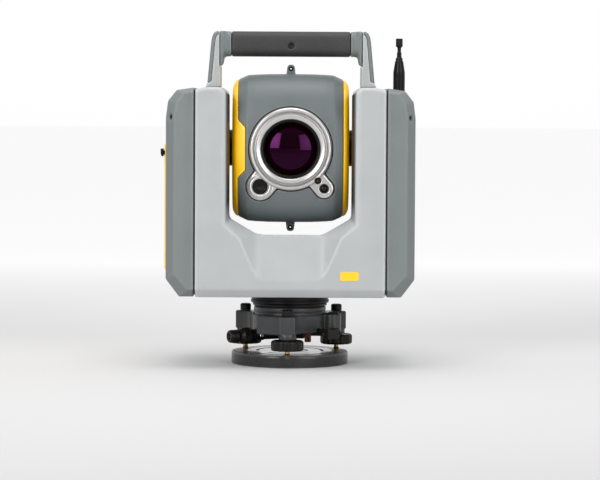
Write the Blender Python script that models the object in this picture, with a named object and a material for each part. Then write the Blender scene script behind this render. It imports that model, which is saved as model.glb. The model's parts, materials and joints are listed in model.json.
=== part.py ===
"""Terrestrial laser scanner on its levelling base, as an assembly of separate pieces.

The instrument stands on three foot screws over a base plate. A U-shaped yoke turns about the
vertical axis and carries a telescope that turns about the trunnion axis between its two legs.
+Z is up, the lens looks along -Y, and the origin is on the vertical axis, under the base plate.
All sizes are in millimetres; MM turns them into Blender's metres.
"""

import math

import bmesh
import bpy
from mathutils import Matrix, Vector

MM = 0.001

# ---- Driving dimensions -------------------------------------------------------------------
GAP = 0.3                  # clearance between two pieces that meet
TRUNNION_Z = 247.5         # telescope axis above the underside of the base plate
SEAT_Z = 51.5              # where the instrument's foot stands in the levelling base
BASE_TURN = -2.5           # degrees that the levelling base is turned about the vertical axis

# Levelling base
PLATE_R = 67.0
PLATE_FLAT = 66.5          # distance of the three flats on the plate's edge
PLATE_TOP = 14.0
SCREW_PCD_R = 61.0         # foot screws, from the vertical axis
SCREW_AZIMUTHS = {"front": -90.0, "right": 30.0, "left": 150.0}
STEM_R = 2.8
BALL_R = 4.2
BALL_Z = 12.6
KNOB_R = 18.5
KNOB_Z = (19.5, 31.2)
BODY_Z = (37.0, 58.0)
BODY_WAIST_R = 43.5
ARM_END_R = 69.5
ARM_END_HALF = 9.0
NECK_R = 10.0
THREAD_R = 7.9             # 5/8 inch tripod screw; the plummet looks down through it
PLUMMET_AZIMUTH = 210.0
PLUMMET_Z = 33.0
FOCUS_RING = (52.0, 65.5)  # along the plummet's tube, from the vertical axis
FOCUS_R = 9.5
EYEPIECE_END = 78.2
EYEPIECE_R = 7.4
LOCK_AZIMUTH = -37.0
LOCK_POINT = (50.0, -38.0, 39.0)
LEVEL_POINT = (49.4, -10.5)

# Foot and turning joint
FOOT_R = 41.4
FOOT_TOP = 66.5
SKIRT_R = 45.0
SKIRT_Z = (67.0, 80.7)
SPINDLE_R = 12.0

# Yoke and side covers
YOKE_HALF_WIDTH = 106.7
YOKE_HALF_DEPTH = 88.0
YOKE_BOTTOM = 81.0
YOKE_TOP = 316.5
LEG_INNER_X = 68.3
LAP_DEPTH = 71.5           # where the front and rear bevels of the opening between the legs end
FLARE_ASIDE = 0.032        # the opening widens and deepens towards the rear, per unit of depth
FLARE_DOWN = 0.056
FLOOR_Z = 151.2
COVER_INNER_X = 108.2
COVER_OUTER_X = 140.0
COVER_CROWN = 2.6
COVER_HALF_DEPTH = 87.0
COVER_WALL = 3.2
COVER_SCREW = (135.2, 79.0, 283.0)
COVER_SCREW_SLOPE = 0.63   # how far the screws lean forwards or back
DOOR_Z = (109.3, 252.9)
DOOR_HALF_DEPTH = 50.0
DOOR_PIVOT = (-143.4, 0.0, 111.0)

# Rear controls, where their axes cross the plane y = 0
BUTTON_POINT = (92.0, 0.0, 130.0)
PORT_POINT = (-92.0, 0.0, 130.0)

# Handle and antenna
HANDLE_TOP = 381.0
GRIP_UNDERSIDE = 352.0
GRIP_HALF_LENGTH = 68.0
GRIP_HALF_DEPTH = 15.0
ANTENNA_X = 124.0
ANTENNA_TOP = 373.5

# Telescope, measured from the trunnion axis
DRUM_Y = 72.0
DRUM_Z = 84.7
END_POWER = 2.6            # roundness of the drum's ends and of the side bands
DRUM_FULL_X = 48.8
DRUM_END_X = 59.0
DRUM_END_SCALE = 0.935
BAND_END_X = 65.9
BAND_END_SCALE = 0.849
DRUM_WALL = 3.0
JOURNAL_R = 20.0
BEARING_R = 30.0
BEZEL_FRONT = -78.0
LOBE_FRONT = 72.5          # the two lobes stand lower than the ring
BEZEL_R = 46.7
LENS_R = 33.3
CAMERA_POINT = (-34.1, -42.4)
POINTER_POINT = (37.8, -44.4)
GUIDE_POINT = (30.7, -35.4)
LOBES = ((CAMERA_POINT, 15.6, 16.2), (POINTER_POINT, 10.9, 10.9))   # centre, radius, root's half width
WEB_START = 36.0

SIDES = {-1: "left", 1: "right"}

# colour, metallic, roughness
FINISHES = {
    "silver_paint": ((0.50, 0.52, 0.53), 0.3, 0.45),
    "green_grey": ((0.19, 0.23, 0.225), 0.0, 0.5),
    "charcoal": ((0.045, 0.046, 0.047), 0.0, 0.5),
    "black_plastic": ((0.02, 0.018, 0.017), 0.0, 0.5),
    "yellow_plastic": ((1.0, 0.52, 0.01), 0.0, 0.45),
    "satin_silver": ((0.62, 0.61, 0.60), 0.8, 0.35),
    "steel": ((0.55, 0.55, 0.56), 1.0, 0.3),
    "brass": ((0.60, 0.40, 0.18), 1.0, 0.35),
    "dark_glass": ((0.03, 0.01, 0.03), 0.0, 0.05),
    "clear_glass": ((0.7, 0.75, 0.72), 0.0, 0.05),
    "circuit_green": ((0.02, 0.12, 0.05), 0.0, 0.5),
    "rubber": ((0.03, 0.03, 0.03), 0.0, 0.8),
}


# ---- Shape helpers ------------------------------------------------------------------------
def clear_scene():
    for item in list(bpy.data.objects):
        bpy.data.objects.remove(item)


def solid_from(bm):
    """Turns a closed bmesh in millimetres into an object in metres."""
    bmesh.ops.remove_doubles(bm, verts=bm.verts, dist=0.001)
    bmesh.ops.recalc_face_normals(bm, faces=bm.faces)
    mesh = bpy.data.meshes.new("solid")
    bm.to_mesh(mesh)
    bm.free()
    mesh.transform(Matrix.Scale(MM, 4))
    item = bpy.data.objects.new("solid", mesh)
    bpy.context.scene.collection.objects.link(item)
    return item


def loft(sections):
    """Skins a row of closed sections that all have the same number of points, and caps both ends."""
    bm = bmesh.new()
    rings = [[bm.verts.new(point) for point in section] for section in sections]
    count = len(rings[0])
    for ring, following in zip(rings, rings[1:]):
        for i in range(count):
            j = (i + 1) % count
            bm.faces.new((ring[i], ring[j], following[j], following[i]))
    bm.faces.new(rings[0])
    bm.faces.new(rings[-1])
    return solid_from(bm)


def prism(outline, plane, low, high):
    """Extrudes a 2-D outline; plane is XY, XZ or YZ, and low and high are along the third axis."""
    lift = {
        "XY": lambda u, v, w: (u, v, w),
        "XZ": lambda u, v, w: (u, w, v),
        "YZ": lambda u, v, w: (w, u, v),
    }[plane]
    return loft([[lift(u, v, w) for u, v in outline] for w in (low, high)])


def box(low, high):
    outline = [(low[0], low[1]), (high[0], low[1]), (high[0], high[1]), (low[0], high[1])]
    return prism(outline, "XY", low[2], high[2])


def turned(profile, at=(0, 0, 0), along=(0, 0, 1), segments=24):
    """Turns (radius, height) points about a line; a profile that starts and ends off it is a ring."""
    bm = bmesh.new()
    ring_shaped = profile[0][0] > 0 and profile[-1][0] > 0
    angles = [2 * math.pi * i / segments for i in range(segments)]
    circles = [
        [bm.verts.new((radius * math.cos(a), radius * math.sin(a), height)) for a in angles]
        for radius, height in profile
        if radius > 0
    ]
    following = circles[1:] + (circles[:1] if ring_shaped else [])
    for circle, after in zip(circles, following):
        for i in range(segments):
            j = (i + 1) % segments
            bm.faces.new((circle[i], circle[j], after[j], after[i]))
    if not ring_shaped:
        bm.faces.new(circles[0])
        bm.faces.new(circles[-1])
    turn = Vector((0, 0, 1)).rotation_difference(Vector(along).normalized()).to_matrix().to_4x4()
    bm.transform(Matrix.Translation(at) @ turn)
    return solid_from(bm)


def rod(radius, low, high, at=(0, 0, 0), along=(0, 0, 1), segments=24):
    return turned([(0, low), (radius, low), (radius, high), (0, high)], at, along, segments)


def ring(inner, outer, low, high, at=(0, 0, 0), along=(0, 0, 1), segments=24):
    return turned([(inner, low), (outer, low), (outer, high), (inner, high)], at, along, segments)


def combine(body, tools, operation):
    for tool in tools:
        modifier = body.modifiers.new(operation, "BOOLEAN")
        modifier.operation = operation
        modifier.object = tool
    bpy.context.view_layer.update()
    evaluated = body.evaluated_get(bpy.context.evaluated_depsgraph_get())
    body.data = bpy.data.meshes.new_from_object(evaluated)
    body.modifiers.clear()
    for tool in tools:
        bpy.data.objects.remove(tool)
    return body


def cut(body, *tools):
    return combine(body, tools, "DIFFERENCE")


def join(body, *tools):
    return combine(body, tools, "UNION")


def keep_inside(body, tool):
    return combine(body, [tool], "INTERSECT")


def polar(radius, azimuth):
    angle = math.radians(azimuth)
    return radius * math.cos(angle), radius * math.sin(angle)


def mirrored(outline):
    """Adds the mirror image of an outline's right half, given from bottom to top."""
    return outline + [(-u, v) for u, v in reversed(outline)]


def turned_outline(corners, azimuth):
    """A symmetric convex outline along a radius, given as (distance, half width) corners."""
    ax, ay = polar(1, azimuth)
    sides = corners + [(r, -t) for r, t in reversed(corners)]
    return [(r * ax - t * ay, r * ay + t * ax) for r, t in sides]


def circle_reach(angle, x, y, radius):
    """Where a ray from the origin leaves a circle, or 0 where it misses."""
    along = x * math.cos(angle) + y * math.sin(angle)
    sideways = y * math.cos(angle) - x * math.sin(angle)
    if abs(sideways) >= radius:
        return 0
    return along + math.sqrt(radius**2 - sideways**2)


def polygon_reach(angle, corners):
    """Where a ray from the origin last crosses a polygon's edges, or 0 where it misses."""
    c, s = math.cos(angle), math.sin(angle)
    reach = 0
    for (x0, y0), (x1, y1) in zip(corners, corners[1:] + corners[:1]):
        side0, side1 = y0 * c - x0 * s, y1 * c - x1 * s
        if side0 * side1 <= 0 and side0 != side1:
            part = side0 / (side0 - side1)
            reach = max(reach, (x0 + part * (x1 - x0)) * c + (y0 + part * (y1 - y0)) * s)
    return reach


def star_outline(circles, polygons, count):
    """The outline of circles and polygons laid over each other, as seen from the origin."""
    angles = {round(2 * math.pi * i / count, 3) for i in range(count)}
    for corners in polygons:
        angles |= {round(math.atan2(y, x) % (2 * math.pi), 3) for x, y in corners if math.hypot(x, y) > 1}
    outline = []
    for angle in sorted(angles):
        reaches = [circle_reach(angle, *circle) for circle in circles]
        reaches += [polygon_reach(angle, corners) for corners in polygons]
        outline.append((max(reaches) * math.cos(angle), max(reaches) * math.sin(angle)))
    return outline


def rounded_rectangle(half_u, low_v, high_v, radius, steps=3):
    points = []
    centres = [
        (half_u - radius, low_v + radius, -90),
        (half_u - radius, high_v - radius, 0),
        (radius - half_u, high_v - radius, 90),
        (radius - half_u, low_v + radius, 180),
    ]
    for u, v, start in centres:
        for i in range(steps + 1):
            du, dv = polar(radius, start + 90 * i / steps)
            points.append((u + du, v + dv))
    return points


def bevel(item, width, segments=1, angle=40):
    """Bevels every edge that is sharper than the given angle."""
    bm = bmesh.new()
    bm.from_mesh(item.data)
    sharp = [e for e in bm.edges if e.calc_face_angle(0) > math.radians(angle)]
    bmesh.ops.bevel(bm, geom=sharp, offset=width * MM, segments=segments, affect="EDGES", profile=0.5)
    bm.to_mesh(item.data)
    bm.free()
    return item


def finish(item, name, finish_name, parent=None, pivot=None):
    """Names a piece, gives it its material, moves its origin to its pivot, and parents it."""
    item.name = name
    item.data.name = name
    if name_is_new(finish_name):
        add_material(finish_name)
    item.data.materials.clear()
    item.data.materials.append(bpy.data.materials[finish_name])
    item.data.shade_smooth()
    item.data.set_sharp_from_angle(angle=math.radians(35))
    if pivot:
        item.data.transform(Matrix.Translation(Vector(pivot) * -MM))
        item.location = Vector(pivot) * MM
    item.parent = parent
    return item


def name_is_new(finish_name):
    return finish_name not in bpy.data.materials


def add_material(finish_name):
    colour, metallic, roughness = FINISHES[finish_name]
    material = bpy.data.materials.new(finish_name)
    material.use_nodes = True
    shader = material.node_tree.nodes["Principled BSDF"]
    shader.inputs["Base Color"].default_value = (*colour, 1)
    shader.inputs["Metallic"].default_value = metallic
    shader.inputs["Roughness"].default_value = roughness


def add_frame(name, height=0.0, turn=0.0):
    frame = bpy.data.objects.new(name, None)
    frame.location.z = height * MM
    frame.rotation_euler.z = math.radians(turn)
    bpy.context.scene.collection.objects.link(frame)
    return frame


# ---- Levelling base -----------------------------------------------------------------------
def plate_outline():
    """A circle with three flats, one at each foot screw."""
    points = []
    half_angle = math.degrees(math.acos(PLATE_FLAT / PLATE_R))
    steps = 12
    for azimuth in sorted(SCREW_AZIMUTHS.values()):
        start = azimuth + half_angle
        sweep = 120 - 2 * half_angle
        points += [polar(PLATE_R, start + sweep * i / steps) for i in range(steps + 1)]
    return points


def build_base_plate(frame):
    plate = prism(plate_outline(), "XY", 0, PLATE_TOP)
    sockets = [rod(5.0, 8, 20, at=(*polar(SCREW_PCD_R, a), 0), segments=20) for a in SCREW_AZIMUTHS.values()]
    spring_recess = ring(20, 50, PLATE_TOP - 1, 20, segments=36)
    thread_hole = rod(THREAD_R, -1, 20, segments=24)
    finish(cut(plate, *sockets, spring_recess, thread_hole), "tribrach_base_plate", "charcoal", frame)

    spring = ring(21, 49.6, PLATE_TOP - 0.7, PLATE_TOP + 0.2, segments=36)
    slots = []
    for azimuth in SCREW_AZIMUTHS.values():
        sweep = [azimuth - 39 + 13 * i for i in range(7)]
        outline = [polar(36, a) for a in sweep] + [polar(39, a) for a in reversed(sweep)]
        slots.append(prism(outline, "XY", 10, 20))
    cut(spring, *slots)
    finish(spring, "spring_plate", "steel", frame)


def body_outline():
    """A round waist with three arms, a web beside the front arm, and a boss for the level."""
    arm = [(20, 17), (42, 16), (ARM_END_R, ARM_END_HALF)]
    arms = [turned_outline(arm, azimuth) for azimuth in SCREW_AZIMUTHS.values()]
    web = [(-6.8, -68.3), (-35.5, -50), (-31, -29), (-4, -40)]
    return star_outline([(0, 0, BODY_WAIST_R), (*LEVEL_POINT, 10)], [*arms, web], 48)


def build_tribrach_body(frame):
    low, high = BODY_Z
    body = prism(body_outline(), "XY", low, high)
    necks = [rod(NECK_R, KNOB_Z[1] + GAP, low + 1, at=(*polar(SCREW_PCD_R, a), 0), segments=24)
             for a in SCREW_AZIMUTHS.values()]
    join(body, *necks)
    plummet_axis = (*polar(1, PLUMMET_AZIMUTH), 0)
    cut(
        body,
        rod(FOOT_R + 0.8, SEAT_Z, high + 2, segments=36),
        rod(26, low - 2, high),
        rod(39, low - 2, 46.5, segments=28),
        rod(8, 49.9, high + 2, at=(*LEVEL_POINT, 0)),
        rod(6.4, 0, 60, at=(0, 0, PLUMMET_Z), along=plummet_axis, segments=20),
        rod(3.1, 30, 70, at=(0, 0, LOCK_POINT[2]), along=(*polar(1, LOCK_AZIMUTH), 0), segments=16),
        *[rod(3.8, 44, 56, at=(*polar(34, a + 60), 0), segments=16) for a in SCREW_AZIMUTHS.values()],
        *[rod(STEM_R + GAP, 20, high + 2, at=(*polar(SCREW_PCD_R, a), 0), segments=16)
          for a in SCREW_AZIMUTHS.values()],
    )
    finish(body, "tribrach_body", "charcoal", frame)


def build_foot_screws(frame):
    cap_low = BODY_Z[1] + GAP
    for side, azimuth in SCREW_AZIMUTHS.items():
        centre = (*polar(SCREW_PCD_R, azimuth), 0)
        cap = turned([(0, cap_low), (6.25, cap_low), (6.25, 65), (5.3, 66), (0, 66)], centre, segments=20)
        finish(cap, "footscrew_cap_" + side, "black_plastic", frame)
        ball = [polar(BALL_R, a) for a in range(-60, 45, 30)]
        ball = [(r, BALL_Z + z) for r, z in ball]
        profile = [(0, BALL_Z - BALL_R), *ball, (STEM_R, 16.8), (STEM_R, 52), (0, 52)]
        stem = turned(profile, centre, segments=16)
        finish(stem, "footscrew_stem_" + side, "brass", frame, pivot=centre)
        finish(fluted_knob(centre), "footscrew_knob_" + side, "black_plastic", frame, pivot=centre)


def fluted_knob(centre):
    """A round knob with ten shallow flutes, bored for its stem."""
    flutes = 10
    outline = []
    for i in range(flutes * 4):
        radius = KNOB_R if i % 4 < 2 else KNOB_R - 1.2
        outline.append(polar(radius, 360 * (i + 0.5) / (flutes * 4)))
    chamfer = 1.2
    scales = [(KNOB_Z[0], 0.93), (KNOB_Z[0] + chamfer, 1), (KNOB_Z[1] - chamfer, 1), (KNOB_Z[1], 0.93)]
    sections = [[(centre[0] + x * s, centre[1] + y * s, z) for x, y in outline] for z, s in scales]
    return cut(loft(sections), rod(STEM_R + GAP, 0, 60, centre, segments=16))


def build_level(frame):
    profile = [(0, 50.3), (7.6, 50.3), (7.6, 57.2), (5, 57.8), (0, 57.8)]
    finish(turned(profile, (*LEVEL_POINT, 0), segments=24), "level_vial", "clear_glass", frame)


def build_plummet(frame):
    along = (*polar(1, PLUMMET_AZIMUTH), 0)
    at = (0, 0, PLUMMET_Z)
    low, high = FOCUS_RING
    collar_end = low - GAP
    tube = turned([(3.2, 13), (5, 13), (5, 44), (7.2, 44.5), (7.2, collar_end), (3.2, collar_end)], at, along)
    finish(tube, "plummet_tube", "black_plastic", frame)
    focus = ring(4, FOCUS_R, low, high, at, along)
    finish(focus, "plummet_focus_ring", "black_plastic", frame, pivot=at)
    start, end = high + GAP, EYEPIECE_END
    barrel = [(0, start), (6.5, start), (EYEPIECE_R, start + 2.5), (EYEPIECE_R, end - 1.5), (6.5, end)]
    eyecup = [(3, end), (3, end - 3), (0, end - 3)]
    finish(turned(barrel + eyecup, at, along), "plummet_eyepiece", "black_plastic", frame, pivot=at)
    prism_housing = cut(box((-8, -8, 26.5), (8, 8, 38)), rod(5.4, 0, 30, at, along, 20))
    block = box((7, -6, 24), (24, 6, 37.5))
    arm = box((23, -2, 30), (38.4, 2, 37))
    finish(join(prism_housing, block, arm), "plummet_prism_housing", "brass", frame)


def build_lock(frame):
    radial = Vector((*polar(1, LOCK_AZIMUTH), 0))
    across = Vector((-radial.y, radial.x, 0))
    centre = Vector(LOCK_POINT)
    arrow = [(-11, -8), (6, -8), (14, -1.5), (8, 4.4), (-11, 4.4)]
    side_face = [centre + across * t + Vector((0, 0, z)) for t, z in arrow]
    grip = loft([[corner + radial * r for corner in side_face] for r in (-4.5, 4.5)])
    bevel(grip, 1.0)
    shaft = rod(2.7, -21.8, -4, at=centre, along=radial, segments=16)
    pin_hole = rod(1.2, 2, 9, at=centre + across * 8 - Vector((0, 0, 1.8)), along=radial, segments=12)
    knob = cut(join(grip, shaft), pin_hole)
    finish(knob, "lock_knob", "charcoal", frame, pivot=centre)

    locking_ring = ring(28, 38, 40, 44, segments=28)
    finish(locking_ring, "locking_ring", "steel", frame)


# ---- Foot and turning joint ---------------------------------------------------------------
def build_foot(frame):
    foot_low = SEAT_Z + GAP
    underside = [(0, 55), (22, 55), (22, foot_low), (FOOT_R, foot_low)]
    top = [(FOOT_R, FOOT_TOP - 1.5), (FOOT_R - 1.5, FOOT_TOP), (0, FOOT_TOP)]
    foot = turned(underside + top, segments=36)
    dowels = [rod(3.4, 45, 55, at=(*polar(34, a + 60), 0), segments=16) for a in SCREW_AZIMUTHS.values()]
    socket = rod(SPINDLE_R + GAP, 58, 70)
    finish(cut(join(foot, *dowels), socket), "instrument_foot", "charcoal", frame)

    spindle = turned([(0, 58.3), (SPINDLE_R, 58.3), (SPINDLE_R, 128), (SPINDLE_R - 1, 129), (0, 129)])
    finish(spindle, "vertical_spindle", "steel", frame)
    circle = ring(SPINDLE_R + GAP, 30, 86, 87.5, segments=28)
    finish(circle, "azimuth_circle", "clear_glass", frame)


def build_turning_parts(frame):
    low, high = SKIRT_Z
    groove = 73.0
    profile = [
        (16, low), (42.5, low), (42.5, 70), (SKIRT_R, 70.5), (SKIRT_R, groove),
        (SKIRT_R - 1, groove + 1), (SKIRT_R - 1, high), (16, high),
    ]
    finish(turned(profile, segments=36), "alidade_skirt", "black_plastic", frame)
    finish(ring(SPINDLE_R + GAP, 20, 97, 127), "spindle_bearing", "steel", frame)
    motor = ring(21, 36, 88.5, 95)
    finish(motor, "azimuth_motor", "brass", frame)


# ---- Yoke ---------------------------------------------------------------------------------
def yoke_outline():
    right = [
        (YOKE_HALF_WIDTH, YOKE_BOTTOM),
        (YOKE_HALF_WIDTH, YOKE_TOP),
        (79, YOKE_TOP),
        (LEG_INNER_X, 309),
        (LEG_INNER_X, 173),
        (66.8, 169.3),
        (40, 153.4),
        (34.5, FLOOR_Z),
    ]
    return mirrored(right)


def lap_recess(side):
    """The volume cut out of the front (side -1) or rear (side 1): leg bevels and a sloped lap panel."""
    above = YOKE_TOP + 13.5
    face = mirrored([
        (79, above), (78, 166.4), (75.3, 161), (59.2, 149.9),
        (56.5, 146.6), (41.6, 112), (35.8, 103.4), (28.3, 100.5),
    ])
    back = mirrored([
        (LEG_INNER_X - 0.3, above), (LEG_INNER_X - 0.3, 173.2), (66.5, 169.7), (47, 158),
        (40, 153.8), (37, 152.6), (35.5, 152), (33, 151.9),
    ])
    sections = ((face, YOKE_HALF_DEPTH + 5), (face, YOKE_HALF_DEPTH), (back, LAP_DEPTH))
    return loft([[(x, side * y, z) for x, z in outline] for outline, y in sections])


def flared_opening():
    """The volume between the legs, which grows from its front edge towards the rear."""
    inner = LEG_INNER_X - 0.3
    right = [(inner, YOKE_TOP + 13.5), (inner, 173.2), (66.5, 169.7), (40, 153.8), (34, 152)]
    sections = []
    for y in (-LAP_DEPTH, YOKE_HALF_DEPTH + 5):
        behind = y + LAP_DEPTH
        grown = [(x + FLARE_ASIDE * behind, z - FLARE_DOWN * behind) for x, z in right]
        sections.append([(x, y, z) for x, z in mirrored(grown)])
    return loft(sections)


def leg_pocket(side):
    """The hollow of one leg, open towards its side cover, with a tunnel under the telescope."""
    outline = [(120, 95), (120, 302), (77, 302), (77, 172), (81, 167), (48, 141), (48, 95)]
    return prism([(side * x, z) for x, z in outline], "XZ", -70, 70)


def build_yoke(frame):
    yoke = prism(yoke_outline(), "XZ", -YOKE_HALF_DEPTH, YOKE_HALF_DEPTH)
    lower_bevels = []
    for side in (-1, 1):
        corners = ((-8, 0), (1, -1), (1, 11), (0, 10), (-9, -1))
        wedge = [(side * (YOKE_HALF_DEPTH + out), YOKE_BOTTOM + up) for out, up in corners]
        lower_bevels.append(prism(wedge, "YZ", -150, 150))
    cut(yoke, lap_recess(-1), lap_recess(1), flared_opening(), *lower_bevels)
    cut(yoke, leg_pocket(-1), leg_pocket(1))
    bosses = [rod(36, 75, 90, at=(0, 0, TRUNNION_Z), along=(side, 0, 0)) for side in (-1, 1)]
    join(yoke, *bosses)
    trunnion = (0, 0, TRUNNION_Z)
    trunnion_bores = [rod(JOURNAL_R + 1.3, 60, 100, trunnion, (side, 0, 0)) for side in (-1, 1)]
    bearing_seats = [rod(BEARING_R + GAP, 78, 100, trunnion, (side, 0, 0)) for side in (-1, 1)]
    hub_bore = turned([(0, 70), (38, 70), (38, 95.5), (20.3, 95.5), (20.3, 133), (0, 133)])
    sight_notch = rod(10, -8, 8, at=(0, 0, FLOOR_Z + 8.5), along=(0, 1, 0), segments=24)
    stepped = [(0, 60), (3, 60), (3, 83), (5.4, 83), (5.4, 100), (0, 100)]
    button_hole = turned(stepped, BUTTON_POINT, (0, 1, 0))
    port_hole = rod(9.3, 60, 100, at=PORT_POINT, along=(0, 1, 0), segments=24)
    cut(yoke, *trunnion_bores, *bearing_seats, hub_bore, sight_notch, button_hole, port_hole)
    finish(yoke, "yoke_housing", "silver_paint", frame)


def build_trunnion_bearings(frame):
    at = (0, 0, TRUNNION_Z)
    for side, name in SIDES.items():
        bearing = ring(JOURNAL_R + GAP, BEARING_R, 78.3, 88, at, (side, 0, 0))
        finish(bearing, "trunnion_bearing_" + name, "steel", frame)
    stator = ring(27, 38, 92, 102, at, (-1, 0, 0))
    finish(stator, "elevation_motor_stator", "brass", frame)


def cover_section(y, side, inset, bottom, top, crown, inner_x):
    """One section of a side cover; inset, bottom and top say how far its outer edges are drawn in."""
    outer = COVER_OUTER_X + crown - inset
    points = [
        (inner_x, YOKE_BOTTOM + bottom),
        (125 - inset, YOKE_BOTTOM + bottom),
        (outer - crown * 0.6, 101 + bottom * 0.7),
        (outer, 180),
        (outer, 282),
        (outer - 2.4, 300.7 - top * 0.8),
        (128 - inset * 0.8, 313 - top),
        (inner_x, 316 - top),
    ]
    return [(side * x, y, z) for x, z in points]


def cover_solid(side, wall, inner_x):
    """The cover's outer volume (wall 0), or its hollow (wall above 0)."""
    bevel_depth = 16.0
    stations = [
        (COVER_HALF_DEPTH - wall, 10.0, 9.0, 3.0, 0.0),
        (COVER_HALF_DEPTH - bevel_depth, 0.0, 0.0, 0.0, 0.0),
        (36.0, 0.0, 0.0, 0.0, 0.65 * COVER_CROWN),
        (0.0, 0.0, 0.0, 0.0, COVER_CROWN),
    ]
    stations = [(-y, *rest) for y, *rest in stations] + stations[-2::-1]
    sections = [
        cover_section(y, side, inset + wall, bottom + wall, top + wall, crown, inner_x)
        for y, inset, bottom, top, crown in stations
    ]
    return loft(sections)


def door_solid(grow=0.0):
    """The battery door's outer volume, crowned like the cover and standing 2 mm proud of it."""
    sections = []
    for y, proud in ((-DOOR_HALF_DEPTH, 2.0), (-25, 4.0), (0, 4.8), (25, 4.0), (DOOR_HALF_DEPTH, 2.0)):
        outer = -COVER_OUTER_X - proud
        edge = math.copysign(grow, y) if abs(y) == DOOR_HALF_DEPTH else 0
        corners = [(outer, DOOR_Z[0]), (outer, DOOR_Z[1]), (-137.6, DOOR_Z[1]), (-137.6, DOOR_Z[0])]
        sections.append([(x, y + edge, z) for x, z in corners])
    return loft(sections)


def build_side_covers(frame):
    shells = {}
    for side in SIDES:
        outer = cover_solid(side, 0, COVER_INNER_X)
        hollow = cover_solid(side, COVER_WALL, COVER_INNER_X - 8)
        holes = []
        for end in (-1, 1):
            at = (side * COVER_SCREW[0], end * COVER_SCREW[1], COVER_SCREW[2])
            holes.append(rod(2.6, -6, 6, at, (side, end * COVER_SCREW_SLOPE, 0), 12))
        shells[side] = cut(outer, hollow, *holes)
    half_depth = DOOR_HALF_DEPTH + 0.5
    opening = box((-150, -half_depth, DOOR_Z[0] - 0.7), (-128, half_depth, DOOR_Z[1] + 0.6))
    finish(cut(shells[-1], opening), "side_cover_left", "green_grey", frame)
    antenna_at = (ANTENNA_X, 0, 0)
    stepped = [(0, 290), (3.4, 290), (3.4, 305.5), (7.1, 305.5), (7.1, 330), (0, 330)]
    antenna_seat = turned(stepped, antenna_at)
    antenna_boss = rod(10, 299, 308, antenna_at)
    finish(cut(join(shells[1], antenna_boss), antenna_seat), "side_cover_right", "green_grey", frame)

    for side, name in SIDES.items():
        low_x, high_x = sorted((side * 107.0, side * 107.9))
        outer = prism(rounded_rectangle(85.5, 83.5, 313.5, 4), "YZ", low_x, high_x)
        inner = prism(rounded_rectangle(80.5, 92, 309, 4), "YZ", low_x - 1, high_x + 1)
        finish(cut(outer, inner), "cover_gasket_" + name, "rubber", frame)


def build_battery_bay(frame):
    battery = bevel(box((-135.5, -41, 114), (-111, 41, 246)), 2.5)
    finish(battery, "battery", "black_plastic", frame)

    door = door_solid()
    slot = box((-160, -45.5, 229), (-130, -40.5, 245))
    finish(cut(door, slot), "battery_door", "green_grey", frame, pivot=DOOR_PIVOT)

    tab = loft([[(x, y, z) for y, z in ((-49.5, low), (-37, low), (-37, high), (-49.5, high))]
                for x, low, high in ((-143.6, 238, 247), (-147.0, 239.5, 247))])
    stem = box((-143.9, -45.1, 240), (-136.9, -40.9, 244.6))
    tongue = box((-137.2, -47, 238), (-136.0, -39, 252))
    latch = join(tab, stem, tongue)
    finish(latch, "door_latch", "black_plastic", frame, pivot=(-143.6, -43, 242))


def build_electronics(frame):
    board = box((112, -62, 108), (113.6, 62, 232))
    chips = [box((113.5, y, z), (116.5, y + 18, z + 18)) for y in (-50, -12, 26) for z in (125, 170, 205)]
    finish(join(board, *chips), "main_board", "circuit_green", frame)


# ---- Rear controls ------------------------------------------------------------------------
def build_rear_controls(frame):
    at = BUTTON_POINT
    back = YOKE_HALF_DEPTH
    head = [(5.0, 84.8), (5.0, back), (4.4, back + 0.6), (0, back + 0.6)]
    button = turned([(0, 74), (2.6, 74), (2.6, 84.8), *head], at, (0, 1, 0))
    finish(button, "power_button", "black_plastic", frame, pivot=(at[0], back, at[2]))
    cup = [(0, 70), (9, 70), (9, back + 0.6), (6, back + 0.6), (6, 78), (0, 78)]
    port = turned(cup, PORT_POINT, (0, 1, 0))
    finish(port, "data_port", "steel", frame)


# ---- Handle and antenna -------------------------------------------------------------------
def build_handle(frame):
    low = YOKE_TOP + GAP
    for side, name in SIDES.items():
        outline = [
            (79.6, low), (97.0, low), (95.6, 323), (91.4, 368),
            (89.8, 376), (86, HANDLE_TOP), (79.6, HANDLE_TOP),
        ]
        arm = prism([(side * x, z) for x, z in outline], "XZ", -17, 17)
        finish(bevel(arm, 2.0, angle=60), "handle_arm_" + name, "silver_paint", frame)
        outline = [
            (79, HANDLE_TOP - 0.2), (68.3, HANDLE_TOP - 0.6), (68.3, 352.6),
            (74.5, 351.2), (78.2, 348), (79, 345),
        ]
        collar = bevel(prism([(side * x, z) for x, z in outline], "XZ", -15.5, 15.5), 2.0, angle=60)
        finish(collar, "handle_collar_" + name, "green_grey", frame)

    grip_outline = rounded_rectangle(GRIP_HALF_DEPTH, GRIP_UNDERSIDE, HANDLE_TOP - 0.2, 9, steps=3)
    grip = prism(grip_outline, "YZ", -GRIP_HALF_LENGTH, GRIP_HALF_LENGTH)
    cut(grip, rod(3.1, 9, 20, at=(0, 0, 364), along=(0, -1, 0), segments=16))
    finish(grip, "handle_grip", "charcoal", frame)


def build_antenna(frame):
    at = (ANTENNA_X, 0, 0)
    base = [(0, 305.9), (6.75, 305.9), (6.75, 334.5), (4.6, 347.6), (4.0, 348), (4.0, 351)]
    tip = [(3.2, 352), (2.2, 363), (3.95, 364.2), (3.95, 372.5), (3.2, ANTENNA_TOP), (0, ANTENNA_TOP)]
    finish(turned(base + tip, at), "antenna", "black_plastic", frame)
    stepped = [(0, 290), (6.5, 290), (6.5, 298.7), (3.0, 298.7), (3.0, 305.6), (0, 305.6)]
    socket = turned(stepped, at, segments=16)
    finish(socket, "antenna_socket", "brass", frame)


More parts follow.
